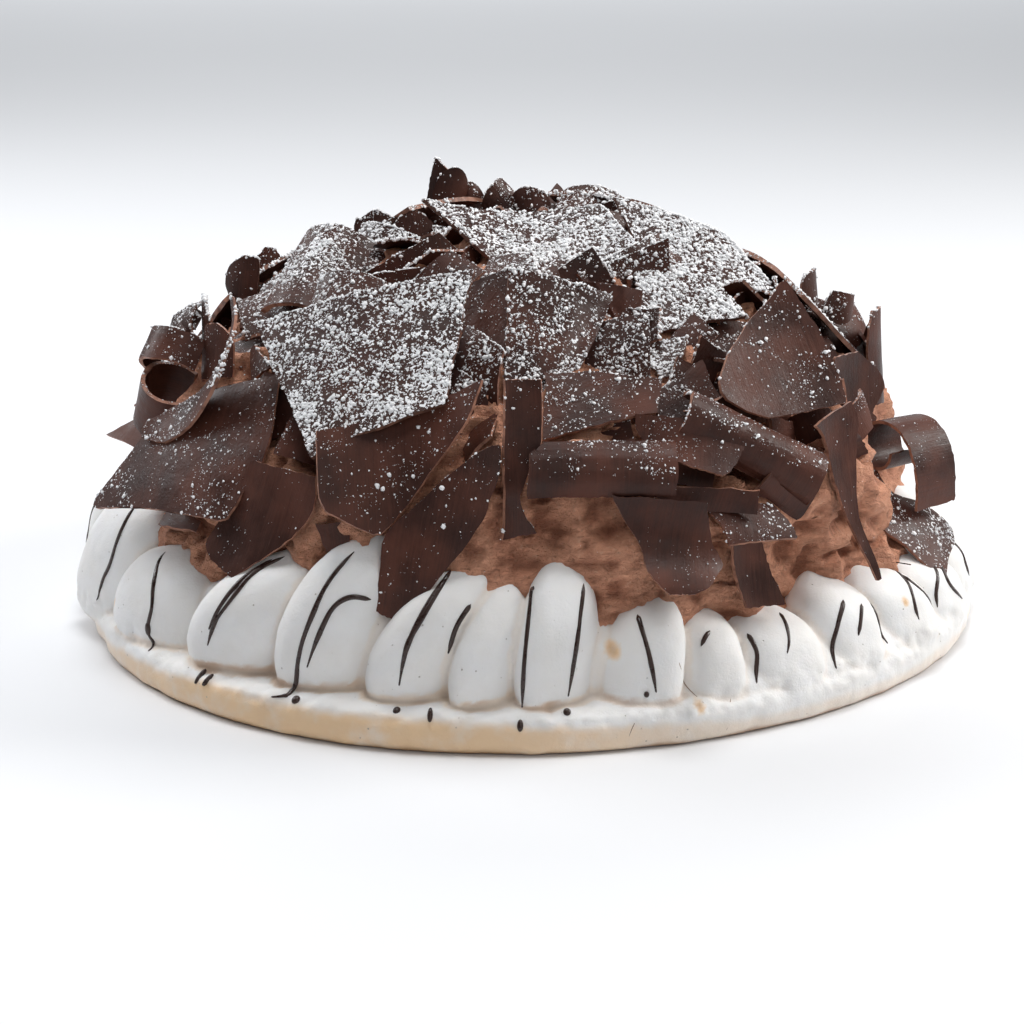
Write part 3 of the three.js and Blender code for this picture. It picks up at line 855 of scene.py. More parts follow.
# ---- mousse ----
MOUSSE_VOXEL = 1.7  # the size of its mesh's faces
MOUSSE_UNSEEN = (24, 110)  # below this height and inside this radius the mousse is left hollow
SKIRT_RADIUS = 116
SKIRT_HALF = 9  # half its thickness
SKIRT_COLUMNS = 120
SKIRT_SIDES = 12
RINGS = ["ring_right", "ring_left"]  # the mousse stays clear of these, so that they are open
RING_ROOM = (22, 1.4)  # how near it may come, and how hard it is pushed in
HOLLOWS = [((78, 104, 80), 42, 0.45), ((82, 122, 52), 40, 0.5)]  # more such rooms: where each is
PRESSED = 3.5  # mousse this near to a shard is pressed flat by it
PRESSED_IN = 1.6  # and how far in it is pressed


def mousse_skirt():
    """Mousse pressed out against the backs of the lobes, all the way round."""
    degrees = np.arange(SKIRT_COLUMNS) * 360 / SKIRT_COLUMNS
    top = lobe_height(degrees)
    rings = []
    for turn in full_turn(SKIRT_SIDES):
        radius = SKIRT_RADIUS + spread_at(degrees) + SKIRT_HALF * np.cos(turn)
        height = 16 + 0.62 * top + 0.45 * top * np.sin(turn)
        rings.append(around(degrees, radius, height))
    points = np.array(rings).reshape(-1, 3)
    return points, tube_faces(len(rings), SKIRT_COLUMNS)


def mousse_folds(points):
    """How far the spoon's folds, finer folds and curds lift the mousse, in flat-lying ridges."""
    bent = points + 3.5 * np.stack([noise(points, 13, 50 + k) for k in range(3)], 1)
    flat = bent * [1, 1, 1.9]
    folds = 1 - np.abs(noise(flat, 19, 53)) * 2.6
    fine_folds = 1 - np.abs(noise(flat, 7.5, 54)) * 2.2
    curds = rough(bent, 2.8, 2, 55)
    return -1.6 + 4.0 * folds + 1.9 * fine_folds + 0.5 * curds + 1.2 * noise(points, 30, 56)


def mousse_hollows():
    """Where there is less mousse: the middle, the room and how hard it is pushed in."""
    rings = [(sum(box_of(node)) / 2, *RING_ROOM) for node in RINGS]
    return rings + [(around(*at), room, push) for at, room, push in HOLLOWS]


def build_mousse(material, shard_tree):
    """The heap of mousse: the solid, rounded, whipped into folds and torn into curds."""
    points, faces = voxel_union([triangles_of("chocolate_mousse"), mousse_skirt()], MOUSSE_VOXEL)
    points = relaxed(points, faces, 12, 0.6)
    _, radius, height = polar(points)
    under = (height < MOUSSE_UNSEEN[0]) & (radius < MOUSSE_UNSEEN[1])
    points, faces = without(points, faces, under)
    near = np.array([shard_tree.find_nearest(Vector(point))[3] for point in points])
    free = ramp(near, 0.8, PRESSED)
    lift = free * mousse_folds(points) - PRESSED_IN * (1 - free)
    points = points + normals_of(points, faces) * lift[:, None]
    for middle, room, push in mousse_hollows():
        inside = np.clip(room - np.linalg.norm(points - middle, axis=1), 0, None)
        inward = unit((np.array([*AXIS, 0]) - middle) * [1, 1, 0])
        points = points + push * inside[:, None] * inward
    # Painted shade: the deeper a fold, the darker it is coloured.
    fold_shade = ramp(relaxed(hollowness(points, faces)[:, None], faces, 2)[:, 0], 0.01, 0.12)
    share = 0.35 * sugar_by_height(points)
    mesh = mesh_of("mousse", points, faces, {"fold_shade": 0.8 * fold_shade, "dust": share})
    return piece("mousse", mesh, material, ["chocolate_mousse"])


# ---- chocolate shards ----
FINEST_EDGE = 2.6  # the longest edge left in a shard's fine mesh
SHARP = math.cos(math.radians(58))  # faces that turn by more than this meet at an edge
RIM_SHARE = 1.1  # a group of faces narrower than about twice this, in millimetres, is a rim
CRISP = math.radians(40)  # what turns by more than this is shaded as an edge
FLAT_SHARE = 0.01  # a shard bends across when its faces turn that way by more than this share
# Layers of noise, each how much, the size of its lumps, and a seed.
SHARD_RAGGED = [(0.45, 3.1, 80), (0.35, 9, 81)]
SHARD_WARP = [(0.45, 17, 82), (0.10, 5, 83)]
PETAL_WARP = [(0.7, 17, 84), (0.15, 5, 85)]
RIM_WORN = 0.15  # how far the rims are worn back


def smooth_groups(points, triangles):
    """Which smooth sheet or rim strip each triangle belongs to, and which of those are sheets."""
    corners = points[triangles]
    facing = np.cross(corners[:, 1] - corners[:, 0], corners[:, 2] - corners[:, 0])
    area = np.linalg.norm(facing, axis=1)
    facing = unit(facing)
    group = np.arange(len(triangles))

    def leader(face):
        """The face that stands for a face's whole group."""
        while group[face] != face:
            face = group[face]
        return face

    owners = {}
    for face, triangle in enumerate(triangles):
        for a, b in zip(triangle, np.roll(triangle, -1)):
            owners.setdefault((min(a, b), max(a, b)), []).append(face)
    for faces in owners.values():
        if len(faces) == 2 and facing[faces[0]] @ facing[faces[1]] > SHARP:
            group[leader(faces[0])] = leader(faces[1])
    leaders = [leader(face) for face in range(len(triangles))]
    group = np.unique(leaders, return_inverse=True)[1]
    outline = np.zeros(group.max() + 1)
    for (a, b), faces in owners.items():
        for face in faces:
            if any(group[other] != group[face] for other in faces):
                outline[group[face]] += np.linalg.norm(points[a] - points[b])
    broad = np.bincount(group, area / 2) > RIM_SHARE * outline
    return group, facing, area, broad


def corner_normals(triangles, group, facing, area):
    """Each triangle corner's normal, smooth within its own group."""
    keys, place = np.unique(triangles * (group.max() + 1) + group[:, None], return_inverse=True)
    place = place.reshape(triangles.shape)
    total = np.zeros((len(keys), 3))
    for corner in range(3):
        np.add.at(total, place[:, corner], facing * area[:, None])
    return unit(total)[place]


# A triangle's parts once 0, 1, 2 or 3 of its edges are split: 0 to 2 are its corners, and 3 to 5
# the middles of the edges that start at them.
SPLITS = {
    0: [(0, 1, 2)],
    1: [(0, 3, 2), (3, 1, 2)],
    2: [(3, 1, 4), (0, 3, 4), (0, 4, 2)],
    3: [(0, 3, 5), (3, 1, 4), (5, 4, 2), (3, 4, 5)],
}


def split_once(points, triangles, normals, weight, group):
    """Splits every long edge in two, on the curve that the normals at its ends ask for."""
    starts = triangles.ravel()
    ends = np.roll(triangles, -1, 1).ravel()
    pairs = np.sort(np.stack([starts, ends], 1), 1)
    edges, edge_of = np.unique(pairs, axis=0, return_inverse=True)
    edge_of = edge_of.ravel()
    span = points[edges[:, 1]] - points[edges[:, 0]]
    long = np.linalg.norm(span, axis=1) > FINEST_EDGE
    if not long.any():
        return None
    order = np.argsort(np.repeat(weight, 3), kind="stable")
    chosen = np.zeros(len(edges), int)
    chosen[edge_of[order]] = order
    first = normals.reshape(-1, 3)[chosen]
    second = np.roll(normals, -1, 1).reshape(-1, 3)[chosen]
    way = points[ends[chosen]] - points[starts[chosen]]
    push = (way * second).sum(1)[:, None] * second - (way * first).sum(1)[:, None] * first
    middles = (points[edges[:, 0]] + points[edges[:, 1]]) / 2 + push / 8
    number = np.full(len(edges), -1)
    number[long] = len(points) + np.arange(long.sum())
    new_points = np.concatenate([points, middles[long]])
    middle_of = number[edge_of].reshape(-1, 3)
    middle_normal = unit(normals + np.roll(normals, -1, 1))
    out = []
    cut = middle_of >= 0
    for pattern in np.ndindex(2, 2, 2):
        rows = np.where((cut == np.array(pattern, bool)).all(1))[0]
        if not len(rows):
            continue
        turn = 0
        if sum(pattern) == 1:
            turn = pattern.index(1)
        if sum(pattern) == 2:
            turn = (pattern.index(0) + 1) % 3
        spots = [np.roll(values[rows], -turn, 1) for values in (triangles, middle_of)]
        spots = np.concatenate(spots, 1)
        spot_normals = [np.roll(values[rows], -turn, 1) for values in (normals, middle_normal)]
        spot_normals = np.concatenate(spot_normals, 1)
        for triple in SPLITS[sum(pattern)]:
            out.append((spots[:, triple], spot_normals[:, triple], weight[rows], group[rows]))
    columns = [np.concatenate(values) for values in zip(*out)]
    return (new_points, *columns)


def fine_shard(points, triangles):
    """A faceted shard as a smooth curved one.

    Gives its points and triangles, each point's way out over the rim and out of its sheet, which
    triangles are rim, and the direction across the scrape.
    """
    group, facing, area, sheets = smooth_groups(points, triangles)
    group_area = np.bincount(group, area)
    normals = corner_normals(triangles, group, facing, area)
    broad = sheets[group]
    spread = np.einsum("i,ij,ik->jk", area[broad], facing[broad], facing[broad])
    strengths, directions = np.linalg.eigh(spread)
    axis = directions[:, 0]
    if strengths[1] < FLAT_SHARE * strengths[2]:  # flat: the scrape runs along its longer side
        middle = points - points.mean(0)
        flat = middle - np.outer(middle @ directions[:, 2], directions[:, 2])
        axis = np.linalg.svd(flat, full_matrices=False)[2][1]
    state = (points, triangles, normals, group_area[group], group)
    while state is not None:
        done = state
        state = split_once(*state)
    points, triangles, normals, _, group = done
    on_rim = np.zeros(len(points))
    rim_way = np.zeros((len(points), 3))
    sheet_way = np.zeros((len(points), 3))
    sheet = sheets[group]
    for corner in range(3):
        np.add.at(rim_way, triangles[~sheet, corner], normals[~sheet, corner])
        np.add.at(sheet_way, triangles[sheet, corner], normals[sheet, corner])
    on_rim[triangles[~sheet]] = 1
    return points, triangles, unit(rim_way) * on_rim[:, None], unit(sheet_way), ~sheet, axis


# How thickly icing sugar covers a shard where its height alone doesn't say. At 1 it is white with
# small gaps.
SUGAR_ON = {
    "slab_front_left": 0.98,
    "slab_front_low": 0.38,
    "splinter_front_long": 0.28,
    "curl_front_upright": 0.5,
    "roll_front": 0.42,
    "tongue_front": 0.14,
    "slab_left": 0.40,
    "plate_left_low": 0.12,
    "tongue_left_long": 0.55,
    "chip_left_low": 0.5,
    "shard_left_shadow": 0.25,
    "slab_right_tall": 0.36,
    "roll_right_long": 0.45,
    "roll_right_under": 0.15,
    "blade_right": 0.12,
    "plate_right_rim": 0.75,
    "ring_right": 0.25,
    "plate_low_right": 0.5,
    "shard_low_right": 0.1,
    "plate_top": 1.05,
    "slab_upper_middle": 0.85,
    "slab_top_right": 1.05,
    "plate_upper_right": 1.05,
    "roll_upper_front": 0.5,
    "shard_upper_front": 0.95,
    "shard_upper_right": 0.55,
}


SUGAR_HEIGHTS = (55, 118)  # from where there is sugar, and from where it is thickest
SUGAR_AT_TOP = 0.78
SUGAR_STRAY = 0.04  # what fell even on the lowest pieces
SUGAR_PATCHES = [(1, 12, 90), (0.6, 4, 91)]
PATCH_EDGE = 0.6  # how softly the patches end


def sugar_by_height(points):
    """Sugar falls thickest on the top of the heap, in uneven drifts."""
    drift = 0.75 + 0.35 * noise(points, 24, 70)
    return ramp(points[:, 2], *SUGAR_HEIGHTS) * drift * SUGAR_AT_TOP + SUGAR_STRAY


def sugar_on(node, points):
    """How thickly sugar covers each point of a shard, in patches."""
    amount = SUGAR_ON[node] if node in SUGAR_ON else sugar_by_height(points)
    patches = ramp(layered(points, *SUGAR_PATCHES), -PATCH_EDGE, PATCH_EDGE)
    least = 0.1 + 0.6 * amount  # what is left between the patches
    return amount * (least + (1 - least) * patches)


def chocolate_piece(name, points, faces, values, material, stands_for=()):
    """A chocolate piece with crisp edges, from its mesh and the values that its material reads."""
    mesh = mesh_of(name, points, faces, values)
    mesh.set_sharp_from_angle(angle=CRISP)
    return piece(name, mesh, material, stands_for)


def build_petals(material):
    """The petals, rings and leaves that stand for solids, each where its solid's box is."""
    sheets = []
    for node, (turns, (wide, tall), form) in PETALS.items():
        sheets.append((node, turns, flake(wide, tall, len(sheets) + 700, **form)))
    for node, (turns, rungs, form) in LEAVES.items():
        sheets.append((node, turns, leaf(rungs, len(sheets) + 700, **form)))
    made = []
    for node, turns, (points, faces, rim, across) in sheets:
        middle = sum(box_of(node)) / 2 + PETAL_SHIFTS.get(node, (0, 0, 0))
        facing = turn_matrix(*turns)[:, 2]
        points = points @ turn_matrix(*turns).T + middle
        points += layered(points, *PETAL_WARP)[:, None] * facing
        values = {"across": across, "rim": rim, "dust": sugar_on(node, points)}
        made.append(chocolate_piece(node + "_shard", points, faces, values, material, [node]))
    return made


def build_shards(material):
    """Every other chocolate shard as a fine piece of its own, which stands for its solid."""
    made = []
    shards = sorted(set(NODES) - {"meringue_case", "chocolate_mousse"} - set(PETALS) - set(LEAVES))
    for node in shards:
        points, triangles = triangles_of(node)
        points, triangles, rim_way, sheet_way, rim, axis = fine_shard(points, triangles)
        ragged = layered(points, *SHARD_RAGGED) - RIM_WORN
        front = np.sign((sheet_way * sheet_way[0]).sum(1, keepdims=True)) * sheet_way
        warp = layered(points, *SHARD_WARP)
        moved = points + rim_way * ragged[:, None] + front * warp[:, None]
        values = {"across": points @ axis, "rim": rim, "dust": sugar_on(node, points)}
        made.append(chocolate_piece(node + "_shard", moved, triangles, values, material, [node]))
    return made


# ---- small chocolate ----
TORN = 0.22  # how ragged thin chocolate is
BEND_STEPS = 161  # the straight steps that a bend is worked out in
FLAKE_ROWS = 11
POINT_ROUND = 0.985  # short of 1, so that a petal's tip keeps some width
LEAF_ROWS = 22
LEAF_COLUMNS = 14


def curled(along, up, number, bend=0, hook=0, cup=0, thick=1.0):
    """A thin sheet over a flat grid of places, bent along x and facing +z.

    A hook puts more of the bend at one side, and a cup brings the middle forward of the ends.
    """
    rows, columns = along.shape
    place = np.arange(rows * columns).reshape(rows, columns)
    along = along + TORN * uneven(place + 50 * number, 31)
    up = up + TORN * uneven(place + 50 * number, 32)
    wide = np.ptp(along)
    steps = np.linspace(-wide, wide, BEND_STEPS)
    heading = np.radians(bend) * steps / wide * (1 + hook * steps / wide)
    sideways = np.cumsum(np.cos(heading)) * (steps[1] - steps[0])
    depth = -np.cumsum(np.sin(heading)) * (steps[1] - steps[0])
    turned = np.interp(along, steps, heading)
    sideways -= np.interp(0, steps, sideways)
    sheet = np.stack([np.interp(along, steps, sideways), up, np.interp(along, steps, depth)], -1)
    sheet[..., 2] -= cup * (2 * up / np.ptp(up)) ** 2
    facing = np.stack([np.sin(turned), 0 * up, np.cos(turned)], -1)
    points = np.concatenate([(sheet + side * thick / 2 * facing).reshape(-1, 3) for side in (1, -1)])
    behind = rows * columns
    a = place[:-1, :-1].ravel()
    b = place[:-1, 1:].ravel()
    c = place[1:, 1:].ravel()
    d = place[1:, :-1].ravel()
    front = np.concatenate([np.stack([a, b, c], 1), np.stack([a, c, d], 1)])
    loop = np.concatenate([place[0, :-1], place[:-1, -1], place[-1, :0:-1], place[:0:-1, 0]])
    after = np.roll(loop, -1)
    rim = [np.stack([loop, loop + behind, after + behind], 1)]
    rim.append(np.stack([loop, after + behind, after], 1))
    faces = np.concatenate([front, front[:, ::-1] + behind, *rim])
    on_rim = np.arange(len(faces)) >= 2 * len(front)
    across = np.tile(along.ravel(), 2) + 7 * number
    return points, faces, on_rim, across


def flake(wide, tall, number, taper=0, skew=0, slant=0, point=0, **form):
    """A flake with its middle at the origin. A point rounds its top off as on a petal."""
    columns = 7 + int(abs(form["bend"]) / 9)
    rows = np.sin(np.linspace(-np.pi / 2, np.pi / 2, FLAKE_ROWS))
    u, v = np.meshgrid(np.linspace(-1, 1, columns), rows)
    narrow = np.sqrt(1 - POINT_ROUND * point * np.clip(v, 0, 1) ** 2) * (1 + taper * v)
    along = wide / 2 * u * narrow + skew * v * tall / 2
    points, *others = curled(along, tall / 2 * v * (1 + slant * u), number, **form)
    return points - (points.min(0) + points.max(0)) / 2, *others


def leaf(rungs, number, **form):
    """A sheet with an outline of its own: its left and right (x, y) for each rung, upwards."""
    u = np.linspace(0, 1, LEAF_COLUMNS)
    left_x, left_y, right_x, right_y = smooth_rows(np.array(rungs, float), LEAF_ROWS).T[:, :, None]
    along = left_x + (right_x - left_x) * u
    points, *others = curled(along, left_y + (right_y - left_y) * u, number, **form)
    return points - [0, 0, points[:, 2].mean()], *others


def turn_matrix(turn, tip, spin):
    """The same turns that place the solids' shards: tip is from upright back to lying flat."""
    turns = Euler((0, 0, math.radians(turn))).to_matrix()
    turns = turns @ Euler((math.radians(90 - tip), 0, 0)).to_matrix()
    return np.array(turns @ Euler((0, 0, math.radians(spin))).to_matrix())


# Curls and petals too thin or small for solids of their own: where each is (around, radius,
# height), how it is turned (turn, tip, spin), its width and height, and its form.
PLACED_CURLS = [
    ((-75, 109, 99), (-60, 25, -70), (18, 9), dict(bend=130, taper=0.2, point=0.8)),
    ((-72, 105, 99), (-70, 5, 15), (8, 19), dict(bend=60, taper=-0.3, point=1)),
    ((-71, 104, 96), (-60, -10, -20), (7, 16), dict(bend=50, taper=-0.4, point=1)),
    ((-76, 111, 97), (-55, 30, 50), (16, 9), dict(bend=150, taper=0.3, point=0.7)),
    ((-79, 112, 92), (-40, 10, 5), (10, 16), dict(bend=90, taper=-0.3, point=1)),
    ((-90, 108, 79), (-80, 10, 30), (16, 13), dict(bend=120, taper=0.2, point=0.6)),
    ((-79, 120, 62), (-70, 30, 60), (16, 12), dict(bend=30, taper=0.3, point=0.5)),
    ((-80, 126, 52), (-70, 20, 80), (17, 12), dict(bend=40, taper=0.2, point=1)),
    ((-26, 125, 54), (-24, 5, 10), (9, 9), dict(bend=20, taper=0.3)),
    ((-143, 41.5, 129.5), (20, 5, -10), (13, 18), dict(bend=90, hook=0.5, point=1)),
    ((-153, 42, 126), (-20, 10, 30), (13, 12), dict(bend=150, hook=0.5, point=0.8)),
    ((-168, 38, 126), (25, 20, 40), (18, 14), dict(bend=150, hook=0.5, point=0.9)),
    ((178, 34, 125), (-30, 20, 20), (17, 13), dict(bend=120, hook=-0.5, point=1)),
    ((140, 34, 126), (25, 45, -28), (26, 15), dict(bend=110, slant=0.3, point=0.4)),
    ((118, 33, 121), (-20, 5, 10), (8, 18), dict(bend=50, hook=0.5, point=0.5)),
    ((120, 52, 119), (-10, 40, -40), (22, 10), dict(bend=130, slant=0.3, point=0.5)),
    ((112, 62, 114), (20, 20, 10), (15, 12), dict(bend=80, hook=0.5, point=0.6)),
    ((37, 50, 118), (10, 22, 12), (29, 8), dict(bend=-40, hook=-0.5, taper=0.1, slant=0.5)),
    ((41, 46, 118), (20, 25, 14), (27, 9), dict(bend=40, hook=0.5, taper=0.2, slant=0.5)),
    ((22, 70, 107), (10, 35, -12), (30, 13), dict(bend=-110, hook=0.3, slant=-0.2)),
    ((-90, 62, 118), (-30, 5, 10), (14, 13), dict(bend=110, hook=0.5, point=0.9)),
    ((-98, 70, 114), (-10, 10, -20), (13, 13), dict(bend=130, hook=0.5, point=0.9)),
    ((104, 98, 98), (60, 5, 5), (14, 15), dict(bend=70, hook=0.4, point=0.6)),
    ((100, 106, 92), (30, 10, -15), (13, 14), dict(bend=90, hook=0.5, point=0.5)),
]
# Solids that are petals or rings, made again whole: their turns, size and form.
PETALS = {
    "petal_left_small": ((-60, 10, 15), (21, 17), dict(bend=60, hook=0.4, point=0.9)),
    "ring_right": ((130, 90, 0), (66, 18), dict(bend=360, hook=1.0)),
}
# Solids with an outline that is more than a bent rectangle, made again with it: their turns, their
# rungs from the lowest to the highest (left x and y, right x and y), and their form.
LEAVES = {
    "slab_front_low": (
        (-15, 32, 11),
        [
            (-11, -25, -9, -25), (-21, -20, -3, -20), (-25, -17, 5, -11), (-26, -9, 12, -3),
            (-26, -2, 19, 4), (-26, 5, 25, 15),
        ],
        dict(bend=-60, hook=-0.2, cup=1),
    ),
    "splinter_front_long": (
        (-10, 12, -9),
        [
            (-15, -24, -5, -26), (-14, -15, 1, -15), (-15, -5, 8, -2), (-13, 1, 12, 7),
            (-7, 8, 13, 13), (-2, 15, 14, 20), (5, 24, 13, 28), (10, 28, 12, 29),
        ],
        dict(bend=35, cup=2),
    ),
    "tongue_front": (
        (15, 26, -12),
        [
            (-1, -16, 6, -15), (-4, -12, 11, -12), (-6, -8, 15, -7), (-7, -3, 17, -3),
            (-9, 1, 14, 1), (-13, 5, 12, 5), (-18, 11, 9, 12),
        ],
        dict(bend=30, cup=-8),
    ),
    "plate_low_right": (
        (25, 45, -7),
        [(-10, -7, 12, -5), (-11, -2, 11, -1), (-13, 2, 9, 2), (-15, 6, 7, 6)],
        dict(bend=15, cup=1),
    ),
    "shard_low_right": (
        (28, 15, -3),
        [(-4, -10, 9, -10), (-6, -4, 7, -4), (-7, 0, 5, 1), (-8, 5, 4, 5), (-8, 11, 2, 11)],
        dict(bend=-35, hook=-0.5, cup=-1),
    ),
    "blade_right": (
        (45, 12, 0),
        [
            (8, -28, 10, -28), (6, -19, 9, -18), (2, -8, 7, -8), (-1, 1, 7, 0),
            (-3, 9, 8, 9), (-4, 15, 9, 15), (-6, 19, 10, 20), (-10, 22, 8, 26),
        ],
        dict(bend=-30, cup=-2),
    ),
    "slab_right_tall": (
        (25, 30, 6),
        [
            (-11, -20, 15, -21), (-18, -16, 16, -18), (-24, -9, 17, -11), (-19, -1, 17, -3),
            (-12, 5, 16, 3), (-4, 11, 14, 9), (3, 15, 12, 14), (8, 19, 10, 19),
        ],
        dict(bend=-28, hook=0.4, cup=-3),
    ),
    "plate_right_rim": (
        (50, 45, 0),
        [
            (-3, -19, -2, -19), (-8, -13, 5, -14), (-11, -5, 15, -9), (-15, 2, 18, -3),
            (-14, 9, 9, 6), (-8, 16, -1, 13), (-2, 24, 3, 24),
        ],
        dict(bend=30, cup=2),
    ),
    "curl_right_back": (
        (60, 5, 0),
        [(-6, -15, 8, -16), (-6, -6, 12, -8), (-6, 2, 15, 0), (-5, 10, 14, 8), (-3, 16, 6, 16)],
        dict(bend=100, hook=0.3),
    ),
    "plate_right_back": (
        (35, 35, 0),
        [(-10, -12, 0, -11), (-12, -6, 8, -6), (-13, 0, 14, -2), (-12, 5, 15, 4), (-7, 9, 13, 8)],
        dict(bend=70, hook=0.3, cup=2),
    ),
    "shard_right_middle": (
        (40, 5, 0),
        [(2, -14, 4, -14), (-4, -9, 8, -9), (-9, -2, 12, -3), (-12, 4, 8, 3), (-12, 9, 0, 9)],
        dict(bend=-20, cup=-1),
    ),
    "slab_left": (
        (-50, 35, 16),
        [
            (-12, -18, 30, -23), (-22, -18, 33, -21), (-30, -16, 37, -13), (-24, -9, 40, -5),
            (-14, 1, 40, 5), (-3, 12, 38, 15), (16, 20, 35, 25),
        ],
        dict(bend=30, hook=0.3, cup=2),
    ),
    "plate_left_low": (
        (-35, 18, -10),
        [
            (-12, -18, -2, -20), (-16, -14, 4, -13), (-14, -6, 12, -3), (-11, 4, 17, 7),
            (-9, 14, 15, 17),
        ],
        dict(bend=12, cup=-1),
    ),
    "tongue_left_long": (
        (-50, 30, 0),
        [
            (-8, -22, 2, -21), (-10, -18, 12, -14), (-3, -10, 18, -5), (7, -3, 21, 2),
            (13, 6, 21, 10), (15, 13, 18, 18), (13, 20, 13, 24), (8, 26, 9, 27),
        ],
        dict(bend=-50, cup=-3),
    ),
    "petal_left_tall": (
        (-30, 10, 0),
        [
            (4, -11, 8, -11), (0, -7, 7, -7), (-5, -3, 6, -3), (-7, 1, 6, 1),
            (-6, 5, 6, 5), (-3, 8, 6, 9), (1, 10, 4, 10),
        ],
        dict(bend=60, hook=0.4),
    ),
    "petal_left_back": (
        (5, 10, 0),
        [
            (-3, -9, 3, -9), (-5, -5, 7, -5), (-6, -1, 7, -1), (-6, 3, 5, 3),
            (-3, 6, 3, 6), (-1, 8, 1, 8),
        ],
        dict(bend=70, hook=-0.3, cup=1),
    ),
    "petal_back_one": (
        (-15, 5, 0),
        [
            (6, -6, 9, -6), (-2, -4, 9, -2), (-5, 0, 9, 1), (-5, 4, 9, 4),
            (-2, 6, 7, 6), (1, 8, 3, 8),
        ],
        dict(bend=60, hook=0.4, cup=1),
    ),
    "petal_back_two": (
        (15, 5, 0),
        [
            (-8, -9, -6, -9), (-7, -4, -1, -4), (-7, -1, 4, -1), (-6, 2, 7, 2),
            (-4, 5, 6, 4), (-1, 7, 2, 7),
        ],
        dict(bend=60, hook=-0.4, cup=1),
    ),
    "spike_top": (
        (-10, 5, 0),
        [
            (-9, -9, 6, -9), (-9, -3, 6, -3), (-8, 3, 5, 3), (-7, 8, 3, 8),
            (-6, 12, 0, 12), (-5, 16, -4, 16),
        ],
        dict(bend=60, hook=0.4),
    ),
    "shard_front_right": (
        (12, 35, -12),
        [(-3, -6, 8, -8), (-12, -2, 11, -5), (-17, 3, 14, 2), (-18, 8, 15, 7)],
        dict(bend=30, hook=-0.3, cup=-1),
    ),
    "curl_front_upright": (
        (10, 5, 0),
        [
            (-7, -23, 4, -22), (-6, -17, 1, -17), (-6, -12, -1, -12), (-6, -6, 1, -6),
            (-6, 2, 5, 2), (-5, 12, 6, 12), (-5, 22, 6, 22),
        ],
        dict(bend=-70, hook=-0.2, cup=1),
    ),
}
# How far these stand from the middle of their solids, which stop where others lie.
PETAL_SHIFTS = {
    "ring_right": (-1.5, -2.5, 2),
    "slab_front_low": (1.5, 5, 0),
    "shard_front_right": (2, -4, 4),
}
# Fillers are flakes in the gaps. Each width, height and form has its middle value, how much it
# varies, and the kind of unevenness that varies it.
FILLER_TRIES = 420
FILLER_GOLDEN = 137.5077  # degrees from one filler to the next, which spreads them evenly
FILLER_SIZE = [(17, 7, 41), (14, 6, 42)]
FILLER_FORM = {
    "bend": (45, 60, 43),
    "hook": (0, 0.5, 47),
    "slant": (0, 0.2, 48),
    "taper": (0, 0.25, 44),
    "skew": (0, 0.4, 45),
}
FILLER_ASTRAY = (18, 16, 90)  # degrees by which their turn, tip and spin vary
FILLER_FORWARD = 6  # degrees by which they tip out of the mousse
FILLER_LEANS = 6  # how many ways of lying are tried for each
FILLER_CROSSED = 8  # a filler that cuts this many triangles of the shards is left out
FILLER_AIM = 30  # the height on the cake's axis that the fillers face away from
OUTSIDE = 260  # a distance from the axis that is outside the cake
LOWEST_FILLER = 56
FRONT_BARE = 18  # how much higher the fillers start at the front
KEPT_CLEAR = ["ring_right", "ring_left", "arch_left"]  # open curls that no filler may block
CLEAR_ROOM = 8


def filler_turns(number, attempt, normal):
    """How a filler lies: roughly along the mousse, but never quite."""
    turn_by, tip_by, spin_by = FILLER_ASTRAY
    turn = math.degrees(math.atan2(normal.x, -normal.y)) + turn_by * uneven(number, 60 + attempt)
    tip = math.degrees(math.asin(max(-1, min(1, normal.z)))) + tip_by * uneven(number, 70 + attempt)
    return turn, tip - FILLER_FORWARD, spin_by * uneven(number, 80 + attempt)


def kept_clear(spot):
    """Whether a place is too near an open curl, which would then be blocked."""
    for node in KEPT_CLEAR:
        low, high = box_of(node)
        if (spot > low - CLEAR_ROOM).all() and (spot < high + CLEAR_ROOM).all():
            return True
    return False


def placed_curls():
    """The curls and petals with places of their own."""
    made = []
    for number, (at, turns, (wide, tall), form) in enumerate(PLACED_CURLS):
        points, faces, rim, across = flake(wide, tall, number + 900, **form)
        made.append((points @ turn_matrix(*turns).T + around(*at), faces, rim, across))
    return made


def filler_sheet(number):
    """One filler's own shape, at the origin."""
    wide, tall = (middle + vary * uneven(number, kind) for middle, vary, kind in FILLER_SIZE)
    form = {
        key: middle + vary * uneven(number, kind)
        for key, (middle, vary, kind) in FILLER_FORM.items()
    }
    return flake(wide, tall, number, **form)


